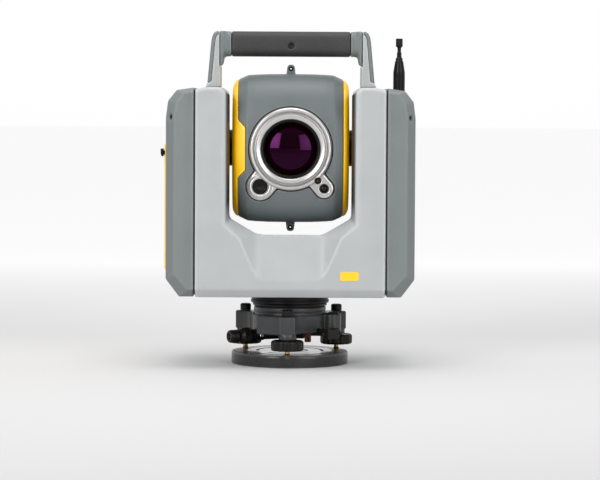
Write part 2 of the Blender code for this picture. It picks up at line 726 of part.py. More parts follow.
# ---- Telescope, about the trunnion axis ---------------------------------------------------
def drum_section(x, scale, power, shrink=0.0, count=32):
    """A rounded section of the telescope drum across its axis; a higher power squares its corners."""
    points = []
    for i in range(count):
        angle = 2 * math.pi * i / count
        c, s = math.cos(angle), math.sin(angle)
        y = math.copysign(abs(c) ** (2 / power), c) * (DRUM_Y * scale - shrink)
        z = math.copysign(abs(s) ** (2 / power), s) * (DRUM_Z * scale - shrink)
        points.append((x, y, z))
    return points


def drum_volume(shrink=0.0):
    """The drum's outside, or its hollow; its corners grow rounder towards the ends, to clear the yoke."""
    end = (DRUM_END_X - shrink, DRUM_END_SCALE, END_POWER)
    right = [(30, 0.998, 4.0), (40, 0.993, 3.4), (DRUM_FULL_X, 0.983, 2.7), end]
    stations = [(-x, scale, power) for x, scale, power in reversed(right)] + [(0, 1.0, 4.0)] + right
    return loft([drum_section(x, scale, power, shrink) for x, scale, power in stations])


def badge_tab(grow):
    """The volume of the left band's widened front tab."""
    edge = -50.8 + grow
    long, short = 33 + grow, 24 + grow * 0.6
    outline = [(-70, -long), (-59, -long), (edge, -short), (edge, short), (-59, long), (-70, long)]
    return prism(outline, "XZ", -90, -40)


def bezel_prism(grow, low, high):
    """The bezel's plan, extruded forwards: a ring with two lobes, each tied to it by a straight web."""
    circles = [(0, 0, BEZEL_R + grow)]
    webs = []
    for (x, z), radius, root in LOBES:
        circles.append((x, z, radius + grow))
        azimuth = math.degrees(math.atan2(z, x))
        corners = [(0, root + grow), (WEB_START, root + grow), (math.hypot(x, z), radius + grow)]
        webs.append(turned_outline(corners, azimuth))
    return prism(star_outline(circles, webs, 84), "XZ", -high, -low)


def sight_tab(side):
    """An open sight on the front shell's rim: side 1 on top, -1 underneath."""
    right = [(4.9, 83.0), (4.9, 86.0), (3.15, 94.2), (2.0, 95.5)]
    tab = prism([(x, side * z) for x, z in mirrored(right)], "XZ", -6, -0.4)
    return cut(tab, rod(1.9, -10, 10, at=(0, 0, side * 90.8), along=(0, 1, 0), segments=12))


def build_telescope_shell(frame):
    drum = cut(drum_volume(), drum_volume(DRUM_WALL))
    bores = [rod(JOURNAL_R + GAP, 50, 70, along=(side, 0, 0)) for side in (-1, 1)]
    cut(drum, bezel_prism(GAP, 50, 90), *bores, badge_tab(GAP))
    rear = drum.copy()
    rear.data = drum.data.copy()
    bpy.context.scene.collection.objects.link(rear)
    half_gap = GAP / 2
    keep_inside(drum, box((-80, -100, -100), (80, -half_gap, 100)))
    join(drum, sight_tab(1), sight_tab(-1))
    keep_inside(rear, box((-80, half_gap, -100), (80, 100, 100)))
    finish(drum, "telescope_front_shell", "green_grey", frame)
    finish(rear, "telescope_rear_shell", "green_grey", frame)


def build_side_bands(frame):
    for side, name in SIDES.items():
        outside = [
            (DRUM_END_X + GAP, DRUM_END_SCALE), (DRUM_END_X + 3, 0.925), (BAND_END_X, BAND_END_SCALE),
        ]
        band = loft([drum_section(side * x, scale, END_POWER) for x, scale in outside])
        if side < 0:
            front = [
                (DRUM_FULL_X, 0.983, 2.7), (DRUM_END_X, DRUM_END_SCALE, END_POWER), (61.5, 0.92, END_POWER),
            ]
            cheek = loft([drum_section(-x, scale, power) for x, scale, power in front])
            join(band, keep_inside(cheek, badge_tab(0)))
        inside = [
            (DRUM_FULL_X - 4, 0.975, 2.7), (DRUM_END_X, 0.93, END_POWER), (BAND_END_X - 3, 0.87, END_POWER),
        ]
        hollow = loft([drum_section(side * x, scale, power, 3.4) for x, scale, power in inside])
        cut(band, hollow, rod(JOURNAL_R + GAP, 50, 80, along=(side, 0, 0)))
        finish(band, "side_band_" + name, "yellow_plastic", frame)


def build_bezel(frame):
    front = -BEZEL_FRONT
    along = (0, -1, 0)
    raised_ring = rod(BEZEL_R - 0.2, 66, front, along=along, segments=36)
    bezel = join(bezel_prism(0, 58, LOBE_FRONT), raised_ring)
    cut(
        bezel,
        rod(LENS_R, 50, 90, along=along, segments=36),
        ring(39, 42, front - 1.5, front + 5, along=along, segments=36),
        rod(8.4, 50, 90, at=(CAMERA_POINT[0], 0, CAMERA_POINT[1]), along=along, segments=24),
        rod(5.4, 50, 90, at=(POINTER_POINT[0], 0, POINTER_POINT[1]), along=along, segments=20),
        rod(3.9, 50, 90, at=(GUIDE_POINT[0], 0, GUIDE_POINT[1]), along=along, segments=16),
    )
    finish(bezel, "lens_bezel", "satin_silver", frame)


def build_optics(frame):
    along = (0, -1, 0)
    barrel = turned([(29.6, 0), (32.9, 0), (32.9, 75), (30.6, 75), (29.6, 73)], along=along, segments=28)
    finish(barrel, "lens_barrel", "black_plastic", frame)
    domed = [(0, 60), (29.2, 60), (29.2, 66), (22, 68.6), (12, 70.4), (0, 70.4)]
    lens = turned(domed, along=along, segments=28)
    finish(lens, "objective_lens", "dark_glass", frame)
    cell = turned([(18, 30), (29.2, 30), (29.2, 42), (18, 42)], along=along, segments=24)
    finish(cell, "focus_lens_cell", "satin_silver", frame)

    x, z = CAMERA_POINT
    window = turned([(0, 58), (8.0, 58), (8.0, 70), (7.2, 70.6), (0, 70.6)], (x, 0, z), along, 24)
    finish(window, "camera_window", "dark_glass", frame)

    flat_face = [(-14, 3, -14), (14, 3, -14), (14, 3, 14), (-14, 3, 14)]
    sloped_face = [(-14, 31, -14), (14, 31, -14), (14, 4, 14), (-14, 4, 14)]
    finish(loft([flat_face, sloped_face]), "scan_prism", "clear_glass", frame)
    motor = rod(16, 34, 58, along=(0, 1, 0))
    finish(motor, "prism_motor", "steel", frame)


def build_journals(frame):
    collar = BAND_END_X + GAP
    profile = [(10, 44), (28, 44), (28, 50), (JOURNAL_R, 50), (JOURNAL_R, collar), (JOURNAL_R + 0.7, collar),
               (JOURNAL_R + 0.7, 71), (JOURNAL_R, 71), (JOURNAL_R, 98), (10, 98)]
    for side, name in SIDES.items():
        finish(turned(profile, along=(side, 0, 0)), "trunnion_journal_" + name, "charcoal", frame)
    circle = ring(JOURNAL_R + GAP, 36, 93, 94.5, along=(1, 0, 0), segments=28)
    finish(circle, "elevation_circle", "clear_glass", frame)


def main():
    clear_scene()
    base_frame = add_frame("levelling_base_frame", turn=BASE_TURN)
    alidade_frame = add_frame("alidade_frame")
    telescope_frame = add_frame("telescope_frame", height=TRUNNION_Z)
    build_base_plate(base_frame)
    build_tribrach_body(base_frame)
    build_foot_screws(base_frame)
    build_level(base_frame)
    build_plummet(base_frame)
    build_lock(base_frame)
    build_foot(base_frame)
    build_turning_parts(alidade_frame)
    build_yoke(alidade_frame)
    build_trunnion_bearings(alidade_frame)
    build_side_covers(alidade_frame)
    build_battery_bay(alidade_frame)
    build_electronics(alidade_frame)
    build_rear_controls(alidade_frame)
    build_handle(alidade_frame)
    build_antenna(alidade_frame)
    build_telescope_shell(telescope_frame)
    build_side_bands(telescope_frame)
    build_bezel(telescope_frame)
    build_optics(telescope_frame)
    build_journals(telescope_frame)


main()
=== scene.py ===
"""Looks of the terrestrial laser scanner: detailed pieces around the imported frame, and a studio.

The moulded and cast pieces are solids described by signed distances on a grid, in millimetres:
negative inside, positive outside. Their surface is meshed with its exact normals. The round
pieces are turned profiles. Every material is made of nodes. +Z is up and the lens looks along -Y.
"""

import functools
import json
import math

import bmesh
import bpy
import numpy as np
import openvdb
from mathutils import Matrix, Vector


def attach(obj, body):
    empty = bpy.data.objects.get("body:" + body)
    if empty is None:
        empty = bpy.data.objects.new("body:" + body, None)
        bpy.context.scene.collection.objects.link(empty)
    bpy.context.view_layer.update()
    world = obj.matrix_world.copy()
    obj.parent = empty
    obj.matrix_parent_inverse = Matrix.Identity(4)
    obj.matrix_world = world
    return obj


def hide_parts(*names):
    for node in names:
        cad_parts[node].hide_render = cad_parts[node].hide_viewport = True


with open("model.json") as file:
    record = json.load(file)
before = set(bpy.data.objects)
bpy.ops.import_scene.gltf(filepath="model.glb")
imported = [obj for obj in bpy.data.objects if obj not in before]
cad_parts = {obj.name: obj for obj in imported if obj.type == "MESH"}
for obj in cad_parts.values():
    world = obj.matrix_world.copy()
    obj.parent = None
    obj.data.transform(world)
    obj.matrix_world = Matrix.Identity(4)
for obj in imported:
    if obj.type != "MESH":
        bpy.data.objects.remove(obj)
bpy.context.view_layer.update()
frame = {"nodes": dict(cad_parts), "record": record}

MM = 0.001

# ---- Driving dimensions, in millimetres, as in the CAD model --------------------------------
SIDES = {"left": -1, "right": 1}
TRUNNION_Z = 247.5
BASE_TURN = -2.5                       # degrees
SCREW_AZIMUTHS = {"front": -90.0, "right": 30.0, "left": 150.0}
SCREW_PCD_R = 61.0
BALL_R = 4.2                           # foot of a foot screw, in its seat in the base plate
BALL_Z = 12.6
KNOB_R = 18.5
KNOB_Z = (19.5, 31.2)
PLATE_R = 67.0
PLATE_TOP = 14.0
BODY_Z = (37.0, 58.0)
BODY_WAIST_R = 43.5
PLUMMET_AZIMUTH = 210.0
PLUMMET_Z = 33.0
LOCK_AZIMUTH = -37.0
LOCK_POINT = (50.0, -38.0, 39.0)
LEVEL_POINT = (49.4, -10.5)
SEAM = 0.35                            # gap between two pieces that meet
DIAGONAL = 1.414                       # the distance across a bevel of 1 by 1

YOKE_HALF_WIDTH = 106.7
YOKE_HALF_DEPTH = 88.0
YOKE_BOTTOM = 81.0
YOKE_TOP = 316.5
FLOOR_Z = 151.2
LEG_INNER_X = 68.3
LAP_DEPTH = 71.5                       # where the front and rear bevels of the opening end
FLARE_ASIDE = 0.032                    # the opening widens and deepens towards the rear
FLARE_DOWN = 0.056
PAINTED_SHADE_TURN = (0.70, 0.90)             # how squarely a leg's edge faces the drum where it gets a dark painted shade
PAINTED_SHADE_Z = (164.0, 188.0)              # and the heights between which that painted shade fades in
COVER_INNER_X = 108.2
COVER_OUTER_X = 140.0
COVER_CROWN = 2.6
COVER_HALF_DEPTH = 87.0
COVER_WALL = 3.2
COVER_BEVEL = 16.0                     # how far back the front bevel of a cover reaches
COVER_CREASE_X = 117.0
COVER_SCREW = (135.2, 79.0, 283.0)
COVER_SCREW_AXIS = (1.0, 0.63, 0.0)
DOOR_Z = (109.3, 252.9)
DOOR_HALF_DEPTH = 50.0
LATCH_Z = (238.0, 247.0)
BATTERY_BOX = ((111, -41, 114), (135.5, 41, 246))
BUTTON_POINT = (92.0, 130.0)           # x and z of the rear controls
PORT_POINT = (-92.0, 130.0)

HANDLE_TOP = 381.0
GRIP_UNDERSIDE = 352.0
GRIP_HALF_LENGTH = 68.0
GRIP_HALF_DEPTH = 15.0
ARM_HALF_DEPTH = 17.0
INLAY_WIDTH = 4.2
COLLAR_PLATE_X = 81.4
ANTENNA_X = 124.0

DRUM_Y = 72.0
DRUM_Z = 84.7
DRUM_STATIONS = ((0, 1.0, 3.4), (24, 0.998, 3.35), (40, 0.991, 3.2), (48.8, 0.983, 3.0), (59.0, 0.929, 2.7),
                 (62.0, 0.914, 2.6), (65.9, 0.868, 2.6))   # |x|, scale, squareness
DRUM_END_X = 59.0
BAND_END_X = 65.9
TAB_FOOT_X = 59.6                      # where the left band begins to widen into its front tab
DRUM_WALL = 3.0
JOURNAL_R = 20.0
BEZEL_R = 46.7
LENS_R = 33.3
LOBE_FRONT = 72.5
CAMERA_POINT = (-34.1, -42.4)
POINTER_POINT = (37.8, -44.4)
GUIDE_POINT = (30.7, -35.4)
LOBES = ((CAMERA_POINT, 15.6, 16.2), (POINTER_POINT, 10.9, 10.9))   # centre, radius, half width
WEB_END = 36.0                         # where the webs of the lobes begin to taper
SIGHT_Z = 90.8                         # hole of each sight, from the trunnion axis


# ---- Solids as signed distances --------------------------------------------------------------
class Grid:
    """Regular sample points around a box."""

    def __init__(self, low, high, step):
        self.step = step
        self.low = [value - 4 * step for value in low]
        axes = [np.arange(a, b + 4 * step, step, dtype=np.float32) for a, b in zip(self.low, high)]
        self.x, self.y, self.z = np.meshgrid(*axes, indexing="ij", sparse=True)
        self.xz = (self.x, self.z)
        self.yz = (self.y, self.z)
        self.xyz = (self.x, self.y, self.z)
        self.shape = tuple(len(axis) for axis in axes)


def both(*fields):
    return functools.reduce(np.maximum, fields)


def either(*fields):
    return functools.reduce(np.minimum, fields)


def without(field, *holes):
    return both(field, *[-hole for hole in holes])


def merged(a, b, radius):
    """The union of two solids with a fillet between them."""
    overlap = np.maximum(radius - np.abs(a - b), 0)
    return np.minimum(a, b) - overlap**2 / (4 * radius)


def slab(values, low, high):
    return np.maximum(low - values, values - high)


def bevel(a, b, size):
    """The slanting face that cuts the edge between two faces."""
    return (a + b + size) / DIAGONAL


def off_line(u, v, at=(0, 0)):
    """The distance from a line that is square to u and v."""
    return np.sqrt((u - at[0]) ** 2 + (v - at[1]) ** 2)


def round_box(coordinates, lows, highs, radius):
    """A box in two or three of the coordinates, with rounded edges."""
    reaches = [
        np.abs(c - (low + high) / 2) - (high - low) / 2 + radius
        for c, low, high in zip(coordinates, lows, highs)
    ]
    outside = np.sqrt(sum(np.maximum(reach, 0) ** 2 for reach in reaches))
    return outside + np.minimum(both(*reaches), 0) - radius


def polygon(u, v, corners):
    """The distance to a closed polygon in the plane of u and v."""
    shape = np.broadcast(u, v).shape
    nearest = np.full(shape, np.inf, np.float32)
    inside = np.zeros(shape, bool)
    for (u0, v0), (u1, v1) in zip(corners, corners[1:] + corners[:1]):
        du, dv = u1 - u0, v1 - v0
        part = np.clip(((u - u0) * du + (v - v0) * dv) / (du * du + dv * dv), 0, 1)
        nearest = np.minimum(nearest, (u - u0 - du * part) ** 2 + (v - v0 - dv * part) ** 2)
        if v0 != v1:
            crosses = (v >= v0) != (v >= v1)
            inside ^= crosses & (u < u0 + (v - v0) / dv * du)
    return np.where(inside, -1, 1) * np.sqrt(nearest)


def rod(grid, radius, low, high, at=(0, 0, 0), along=(0, 0, 1)):
    axis = Vector(along).normalized()
    dx, dy, dz = grid.x - at[0], grid.y - at[1], grid.z - at[2]
    height = dx * axis.x + dy * axis.y + dz * axis.z
    off_axis = np.sqrt(np.maximum(dx * dx + dy * dy + dz * dz - height * height, 0))
    return both(off_axis - radius, slab(height, low, high))


def lofted(grid, outline_at):
    """A solid whose XZ outline depends on y, with its distances made true."""
    slices = {}
    order = []
    for y in grid.y.ravel():
        outline = outline_at(float(y))
        key = tuple(outline)
        if key not in slices:
            slices[key] = polygon(grid.x, grid.z, outline)
        order.append(slices[key])
    return true_distance(grid, np.concatenate(order, axis=1))


def true_distance(grid, field):
    slopes = np.gradient(np.broadcast_to(field, grid.shape), grid.step)
    steepness = np.sqrt(sum(slope**2 for slope in slopes))
    return field / np.maximum(steepness, 0.5)


def softened(field, passes):
    """Rounds every edge a little; flat faces stay where they are."""
    for _ in range(passes):
        for axis in range(3):
            ends = [(1, 1) if i == axis else (0, 0) for i in range(3)]
            padded = np.moveaxis(np.pad(field, ends, mode="edge"), axis, 0)
            field = np.moveaxis(padded[:-2] * 0.25 + padded[1:-1] * 0.5 + padded[2:] * 0.25, 0, axis)
    return field


def sampled(volume, points):
    """The values of a volume between its sample points."""
    base = np.clip(np.floor(points).astype(int), 0, np.array(volume.shape) - 2)
    part = points - base
    total = 0
    for i in (0, 1):
        for j in (0, 1):
            for k in (0, 1):
                weight = np.prod(np.abs(1 - np.array((i, j, k)) - part), axis=1)
                total = total + weight * volume[base[:, 0] + i, base[:, 1] + j, base[:, 2] + k]
    return total


def solid(name, grid, field, finish, offset=(0, 0, 0), turn=0.0, mirror=False, passes=1, merge=0.03):
    """Meshes a field's surface. Vertices know how convex the surface is there, for edge wear and a painted
    edge highlight.
    """
    field = np.broadcast_to(field, grid.shape).astype(np.float32)
    field = softened(np.clip(field, -5 * grid.step, 5 * grid.step), passes)
    volume = openvdb.FloatGrid(background=5 * grid.step)
    volume.copyFromArray(np.ascontiguousarray(field))
    points, triangles, quads = volume.convertToPolygons(isovalue=0.0, adaptivity=merge)
    normals = np.stack([sampled(slope, points) for slope in np.gradient(field)], axis=1)
    normals /= np.maximum(np.linalg.norm(normals, axis=1, keepdims=True), 1e-6)
    edge = sampled(softened(field, 2) - field, points) / grid.step
    positions = points * grid.step + np.array(grid.low)
    faces = triangles.tolist() + quads.tolist()
    if mirror:
        positions[:, 0] *= -1
        normals[:, 0] *= -1
    first = np.array([face[:3] for face in faces])
    a, b, c = positions[first[:, 0]], positions[first[:, 1]], positions[first[:, 2]]
    if np.sum(np.cross(b - a, c - a) * normals[first[:, 0]]) < 0:
        faces = [face[::-1] for face in faces]
    place = Matrix.Rotation(math.radians(turn), 4, "Z") @ Matrix.Translation(offset)
    rotation = np.array(place.to_3x3())
    positions = positions @ rotation.T + np.array(place.translation)
    mesh = bpy.data.meshes.new(name)
    mesh.from_pydata((positions * MM).tolist(), [], faces)
    mesh.update()
    mesh.shade_smooth()
    mesh.normals_split_custom_set_from_vertices((normals @ rotation.T).tolist())
    # how convex each vertex is: lightens edges as wear and as a painted highlight
    wear_highlight = mesh.attributes.new("edge", "FLOAT", "POINT")
    wear_highlight.data.foreach_set("value", edge.astype(np.float32))
    return linked(name, mesh, finish)


# ---- Turned pieces ---------------------------------------------------------------------------
def eased(corners, radius, steps=3):
    """Replaces the inner corners of a line of points by small curves."""
    points = [corners[0]]
    for before, corner, after in zip(corners, corners[1:], corners[2:]):
        corner = Vector(corner)
        towards = []
        for other in (Vector(before), Vector(after)):
            reach = min(radius, (other - corner).length * 0.45)
            towards.append(corner + (other - corner).normalized() * reach)
        start, end = towards
        for i in range(steps + 1):
            t = i / steps
            points.append(tuple(start * (1 - t) ** 2 + corner * (2 * t * (1 - t)) + end * t**2))
    return points + [corners[-1]]


def lathe(name, profile, finish, at=(0, 0, 0), along=(0, 0, 1), segments=96, ease=0.4, turn=0.0, relief=None):
    """Turns (radius, height) points about a line; relief(angle, height) is cut into its side."""
    ring_shaped = profile[0][0] > 0
    if ring_shaped:
        profile = eased([*profile, profile[0], profile[1]], ease)[1:-1]
    else:
        profile = eased(profile, ease)
    bm = bmesh.new()
    rings = []
    for radius, height in profile:
        if radius < 1e-6:
            rings.append([bm.verts.new((0, 0, height))])
            continue
        circle = []
        for i in range(segments):
            angle = 2 * math.pi * i / segments
            reach = radius - (relief(angle, height) if relief else 0)
            circle.append(bm.verts.new((reach * math.cos(angle), reach * math.sin(angle), height)))
        rings.append(circle)
    following = rings[1:] + (rings[:1] if ring_shaped else [])
    for circle, after in zip(rings, following):
        for i in range(segments):
            j = (i + 1) % segments
            corners = [circle[i % len(circle)], circle[j % len(circle)]]
            corners += [after[j % len(after)], after[i % len(after)]]
            corners = list(dict.fromkeys(corners))
            if len(corners) > 2:
                bm.faces.new(corners)
    bmesh.ops.remove_doubles(bm, verts=bm.verts, dist=1e-4)
    bmesh.ops.recalc_face_normals(bm, faces=bm.faces)
    stand = Vector((0, 0, 1)).rotation_difference(Vector(along).normalized()).to_matrix().to_4x4()
    bm.transform(Matrix.Rotation(math.radians(turn), 4, "Z") @ Matrix.Translation(at) @ stand)
    bm.transform(Matrix.Scale(MM, 4))
    mesh = bpy.data.meshes.new(name)
    bm.to_mesh(mesh)
    bm.free()
    mesh.shade_smooth()
    mesh.set_sharp_from_angle(angle=math.radians(40))
    return linked(name, mesh, finish)


def linked(name, mesh, finish):
    item = bpy.data.objects.new(name, mesh)
    bpy.context.scene.collection.objects.link(item)
    mesh.materials.append(MATERIALS[finish])
    return item


def settle(item, body, slot, *nodes):
    """The piece moves with its CAD body and stands for CAD nodes, which it hides; slot is not used."""
    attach(item, body)
    if nodes:
        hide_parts(*nodes)
    return item


def turned(name, profile, finish, body, slot, *nodes, **shape):
    """A turned piece on its body; shape says where it stands and how it is turned."""
    return settle(lathe(name, profile, finish, **shape), body, slot, *nodes)


def turned_on_base(name, profile, finish, slot, *nodes, body="tribrach", **shape):
    return turned(name, profile, finish, body, slot, *nodes, turn=BASE_TURN, **shape)


def turned_on_telescope(name, profile, finish, slot, *nodes, point=(0, 0), **shape):
    at = (point[0], 0, TRUNNION_Z + point[1])
    return turned(name, profile, finish, "telescope", slot, *nodes, at=at, along=(0, -1, 0), **shape)


def polar(radius, azimuth):
    angle = math.radians(azimuth)
    return radius * math.cos(angle), radius * math.sin(angle)


def mirrored(outline):
    return outline + [(-u, v) for u, v in reversed(outline)]


def flutes(count, depth, low, high, sharpness=1.0):
    """A relief of evenly spaced grooves between two heights."""
    def relief(angle, height):
        if not low <= height <= high:
            return 0.0
        wave = 0.5 + 0.5 * math.cos(count * angle)
        return depth * wave**sharpness
    return relief


# ---- Materials -------------------------------------------------------------------------------
def feed(tree, node, socket, value):
    """Links a socket to a node's input, or sets the input's value."""
    if isinstance(value, bpy.types.NodeSocket):
        tree.links.new(value, node.inputs[socket])
    else:
        node.inputs[socket].default_value = value


def add_node(tree, kind, settings=None, operands=(), **inputs):
    """Adds a shader node with its settings, its numbered inputs and its named inputs."""
    node = tree.nodes.new("ShaderNode" + kind)
    for name, value in (settings or {}).items():
        setattr(node, name, value)
    for number, value in enumerate(operands):
        feed(tree, node, number, value)
    for name, value in inputs.items():
        feed(tree, node, name.replace("_", " "), value)
    return node


def mixed(tree, factor, a, b):
    """Mixes two colours; b is red, green and blue, and a may also be a socket."""
    node = add_node(tree, "Mix", {"data_type": "RGBA"}, Factor=factor, B=(*b, 1))
    feed(tree, node, "A", a if isinstance(a, bpy.types.NodeSocket) else (*a, 1))
    return node.outputs["Result"]


def made_material(name, colour, roughness, metallic=0.0, tone=0.06, spread=0.05, grain=900, bump=0.15,
                  wear_highlight=0.0, worn_highlight=(0.5, 0.5, 0.5), painted_shade=None, **sockets):
    """Mottled colour and roughness, a fine grain, and lighter convex edges: wear plus a painted highlight.

    Where a mesh carries its painted-shade mark, the colour goes over to a dark painted shade.
    """
    material = bpy.data.materials.new(name)
    material.use_nodes = True
    tree = material.node_tree
    shader = tree.nodes["Principled BSDF"]
    for socket, value in {"Metallic": metallic, **sockets}.items():
        shader.inputs[socket.replace("_", " ")].default_value = value

    place = add_node(tree, "TexCoord").outputs["Object"]
    mottle = add_node(tree, "TexNoise", Scale=28, Detail=5, Vector=place).outputs["Fac"]
    speckle = add_node(tree, "TexNoise", Scale=grain, Detail=2, Vector=place).outputs["Fac"]
    noise = add_node(tree, "Math", {"operation": "ADD"}, operands=(mottle, speckle)).outputs["Value"]
    even = add_node(tree, "MapRange", From_Min=0.7, From_Max=1.3, Value=noise).outputs["Result"]
    darker = [c * (1 - tone) for c in colour]
    lighter = [min(c * (1 + tone), 1) for c in colour]
    shown = mixed(tree, even, darker, lighter)
    # convex edges go lighter: partly wear, partly a painted highlight
    if wear_highlight:
        convex = add_node(tree, "Attribute", {"attribute_name": "edge"}).outputs["Fac"]
        amount = add_node(tree, "MapRange", From_Min=0.04, From_Max=0.3, To_Max=wear_highlight, Value=convex)
        shown = mixed(tree, amount.outputs["Result"], shown, worn_highlight)
    # painted shade: the colour darkens where the mesh is marked
    if painted_shade:
        shade_mark = add_node(tree, "Attribute", {"attribute_name": "painted_shade"}).outputs["Fac"]
        shown = mixed(tree, shade_mark, shown, painted_shade)
    feed(tree, shader, "Base Color", shown)

    dull = add_node(tree, "MapRange", From_Min=0.3, From_Max=0.7, To_Min=max(roughness - spread, 0.02),
                    To_Max=roughness + spread, Value=mottle)
    feed(tree, shader, "Roughness", dull.outputs["Result"])
    if bump:
        relief = add_node(tree, "Bump", Strength=bump, Distance=0.0002, Height=speckle)
        feed(tree, shader, "Normal", relief.outputs["Normal"])
    return material


GREEN_GREY = (0.150, 0.170, 0.168)
# Convex edges of most finishes go lighter: partly wear, partly a painted highlight.
MATERIALS = {
    # the silver paint turns dark brown on the legs' inner edges: a painted shade for the dark gap and drum
    "silver": made_material("silver_paint", (0.405, 0.42, 0.425), 0.42, 0.0, 0.045, bump=0.12,
                            wear_highlight=0.5, worn_highlight=(0.62, 0.63, 0.64), painted_shade=(0.010, 0.006, 0.004),
                            Coat_Weight=0.12, Coat_Roughness=0.35),
    "cover": made_material("cover_plastic", GREEN_GREY, 0.48, 0.0, 0.06, bump=0.22, grain=1100,
                           wear_highlight=0.35, worn_highlight=(0.30, 0.34, 0.33)),
    "shell": made_material("telescope_paint", (0.122, 0.141, 0.143), 0.45, 0.0, 0.05, bump=0.15, grain=1100,
                           wear_highlight=0.3, worn_highlight=(0.30, 0.34, 0.33)),
    # the yellow glows faintly: a painted light that lifts the bands out of the shade the legs cast on them
    "yellow": made_material("yellow_plastic", (1.0, 0.55, 0.001), 0.36, 0.0, 0.02, bump=0.05,
                            wear_highlight=0.2, worn_highlight=(1.0, 0.62, 0.03), Coat_Weight=0.3,
                            Emission_Color=(1.0, 0.5, 0.0, 1), Emission_Strength=0.08),
    "charcoal": made_material("charcoal_grip", (0.032, 0.030, 0.031), 0.55, 0.0, 0.15, bump=0.5, grain=700),
    "tribrach": made_material("tribrach_paint", (0.035, 0.036, 0.038), 0.32, 0.0, 0.25, bump=0.4, grain=1500,
                              wear_highlight=0.15, worn_highlight=(0.10, 0.10, 0.105), Specular_IOR_Level=0.45),
    "black": made_material("black_plastic", (0.006, 0.0045, 0.004), 0.36, 0.0, 0.2, bump=0.12, grain=900,
                           wear_highlight=0.4, worn_highlight=(0.035, 0.03, 0.028), Specular_IOR_Level=0.22),
    "plate": made_material("base_plate_paint", (0.022, 0.022, 0.023), 0.27, 0.0, 0.25, bump=0.25, grain=1500,
                           wear_highlight=0.7, worn_highlight=(0.10, 0.10, 0.105), Specular_IOR_Level=0.35),
    "gloss": made_material("gloss_black_enamel", (0.004, 0.004, 0.004), 0.12, 0.0, 0.2, bump=0.03, grain=900),
    "satin": made_material("satin_silver", (0.60, 0.59, 0.58), 0.33, 0.85, 0.02, spread=0.015, bump=0,
                           wear_highlight=0.2, worn_highlight=(0.74, 0.73, 0.72)),
    "steel": made_material("bare_steel", (0.56, 0.56, 0.57), 0.25, 1.0, 0.05, bump=0.06, grain=1600),
    "brass": made_material("brass_fittings", (0.62, 0.40, 0.20), 0.28, 1.0, 0.08, bump=0.05),
    "bronze": made_material("bronze_block", (0.17, 0.065, 0.022), 0.4, 0.7, 0.15, bump=0.1),
    "coated": made_material("coated_glass", (0.004, 0.0006, 0.0008), 0.04, 0.0, 0.3, spread=0.01, bump=0,
                            Specular_Tint=(0.42, 0.08, 0.42, 1), IOR=1.5),
    "amber": made_material("amber_window", (0.07, 0.05, 0.012), 0.1, 0.0, 0.3, spread=0.02, bump=0),
    "glass": made_material("clear_glass", (0.75, 0.82, 0.78), 0.05, 0.0, 0.02, spread=0.01, bump=0,
                           Transmission_Weight=0.6),
    "board": made_material("circuit_board", (0.015, 0.10, 0.04), 0.4, 0.0, 0.3, grain=300),
    "rubber": made_material("black_rubber", (0.02, 0.02, 0.02), 0.7, 0.0, 0.2, bump=0.4),
    "recess": made_material("lens_baffle", (0.006, 0.005, 0.005), 0.6, 0.0, 0.3, bump=0.3),
    "gasket": made_material("seam_rubber", (0.03, 0.03, 0.032), 0.7, 0.0, 0.2),
    "vial": made_material("level_liquid", (0.35, 0.55, 0.12), 0.05, 0.0, 0.05, bump=0, Coat_Weight=1.0),
}
SLOT_FINISHES = {
    "silver_paint": "silver",
    "green_grey_cover": "cover",
    "telescope_shell": "shell",
    "yellow_plastic": "yellow",
    "charcoal_grip": "charcoal",
    "tribrach_paint": "tribrach",
    "black_plastic": "black",
    "satin_silver": "satin",
    "bare_steel": "steel",
    "brass_fittings": "brass",
    "coated_glass": "coated",
    "clear_glass": "glass",
    "circuit_board": "board",
    "black_rubber": "rubber",
}


def paint_carried_nodes():
    """Gives every CAD node that stays in the picture the material of its slot."""
    slots = {row["node"]: row["material_slot"] for row in frame["record"]["subparts"]}
    for name, item in frame["nodes"].items():
        finish = SLOT_FINISHES[slots[name]]
        item.data.materials.clear()
        item.data.materials.append(MATERIALS[finish])
        item.data.shade_smooth()
        item.data.set_sharp_from_angle(angle=math.radians(35))


# ---- Yoke ------------------------------------------------------------------------------------
def opening_outline(y):
    """The opening between the legs at a depth: rounded and lapped in front, and wider towards the rear."""
    inner = [(LEG_INNER_X, 340), (LEG_INNER_X, 173), (66.8, 169.3), (47, 157.5),
             (40, 153.4), (37, 152.1), (35.5, 151.5), (34.5, FLOOR_Z)]
    outer = [(79, 340), (78, 166.4), (75.3, 161), (59.2, 149.9),
             (56.5, 146.6), (41.6, 112), (35.8, 103.4), (28.3, 100.5)]
    behind = max(y, -LAP_DEPTH) + LAP_DEPTH
    grown = [(x + FLARE_ASIDE * behind, z - FLARE_DOWN * behind) for x, z in inner]
    lap = max(abs(y) - LAP_DEPTH, 0) / (YOKE_HALF_DEPTH - LAP_DEPTH)
    rounded = 1 - math.sqrt(max(1 - lap * lap, 0))
    shares = [rounded, rounded, (rounded + lap) / 2] + [lap] * 5
    return mirrored([(a + (c - a) * t, b + (d - b) * t) for (a, b), (c, d), t in zip(grown, outer, shares)])


def mark_painted_shade(item):
    """Marks where the legs' inner edges turn towards the drum, for a dark painted shade there: the shade and
    dark reflection beside the drum.
    """
    mesh = item.data
    places = np.empty(len(mesh.vertices) * 3)
    normals = np.empty(len(mesh.vertices) * 3)
    mesh.vertices.foreach_get("co", places)
    mesh.vertices.foreach_get("normal", normals)
    places = places.reshape(-1, 3)
    inward = -np.sign(places[:, 0]) * normals.reshape(-1, 3)[:, 0]
    turned = np.clip((inward - PAINTED_SHADE_TURN[0]) / (PAINTED_SHADE_TURN[1] - PAINTED_SHADE_TURN[0]), 0, 1)
    above = np.clip((places[:, 2] / MM - PAINTED_SHADE_Z[0]) / (PAINTED_SHADE_Z[1] - PAINTED_SHADE_Z[0]), 0, 1)
    mark = mesh.attributes.new("painted_shade", "FLOAT", "POINT")
    mark.data.foreach_set("value", turned * above)


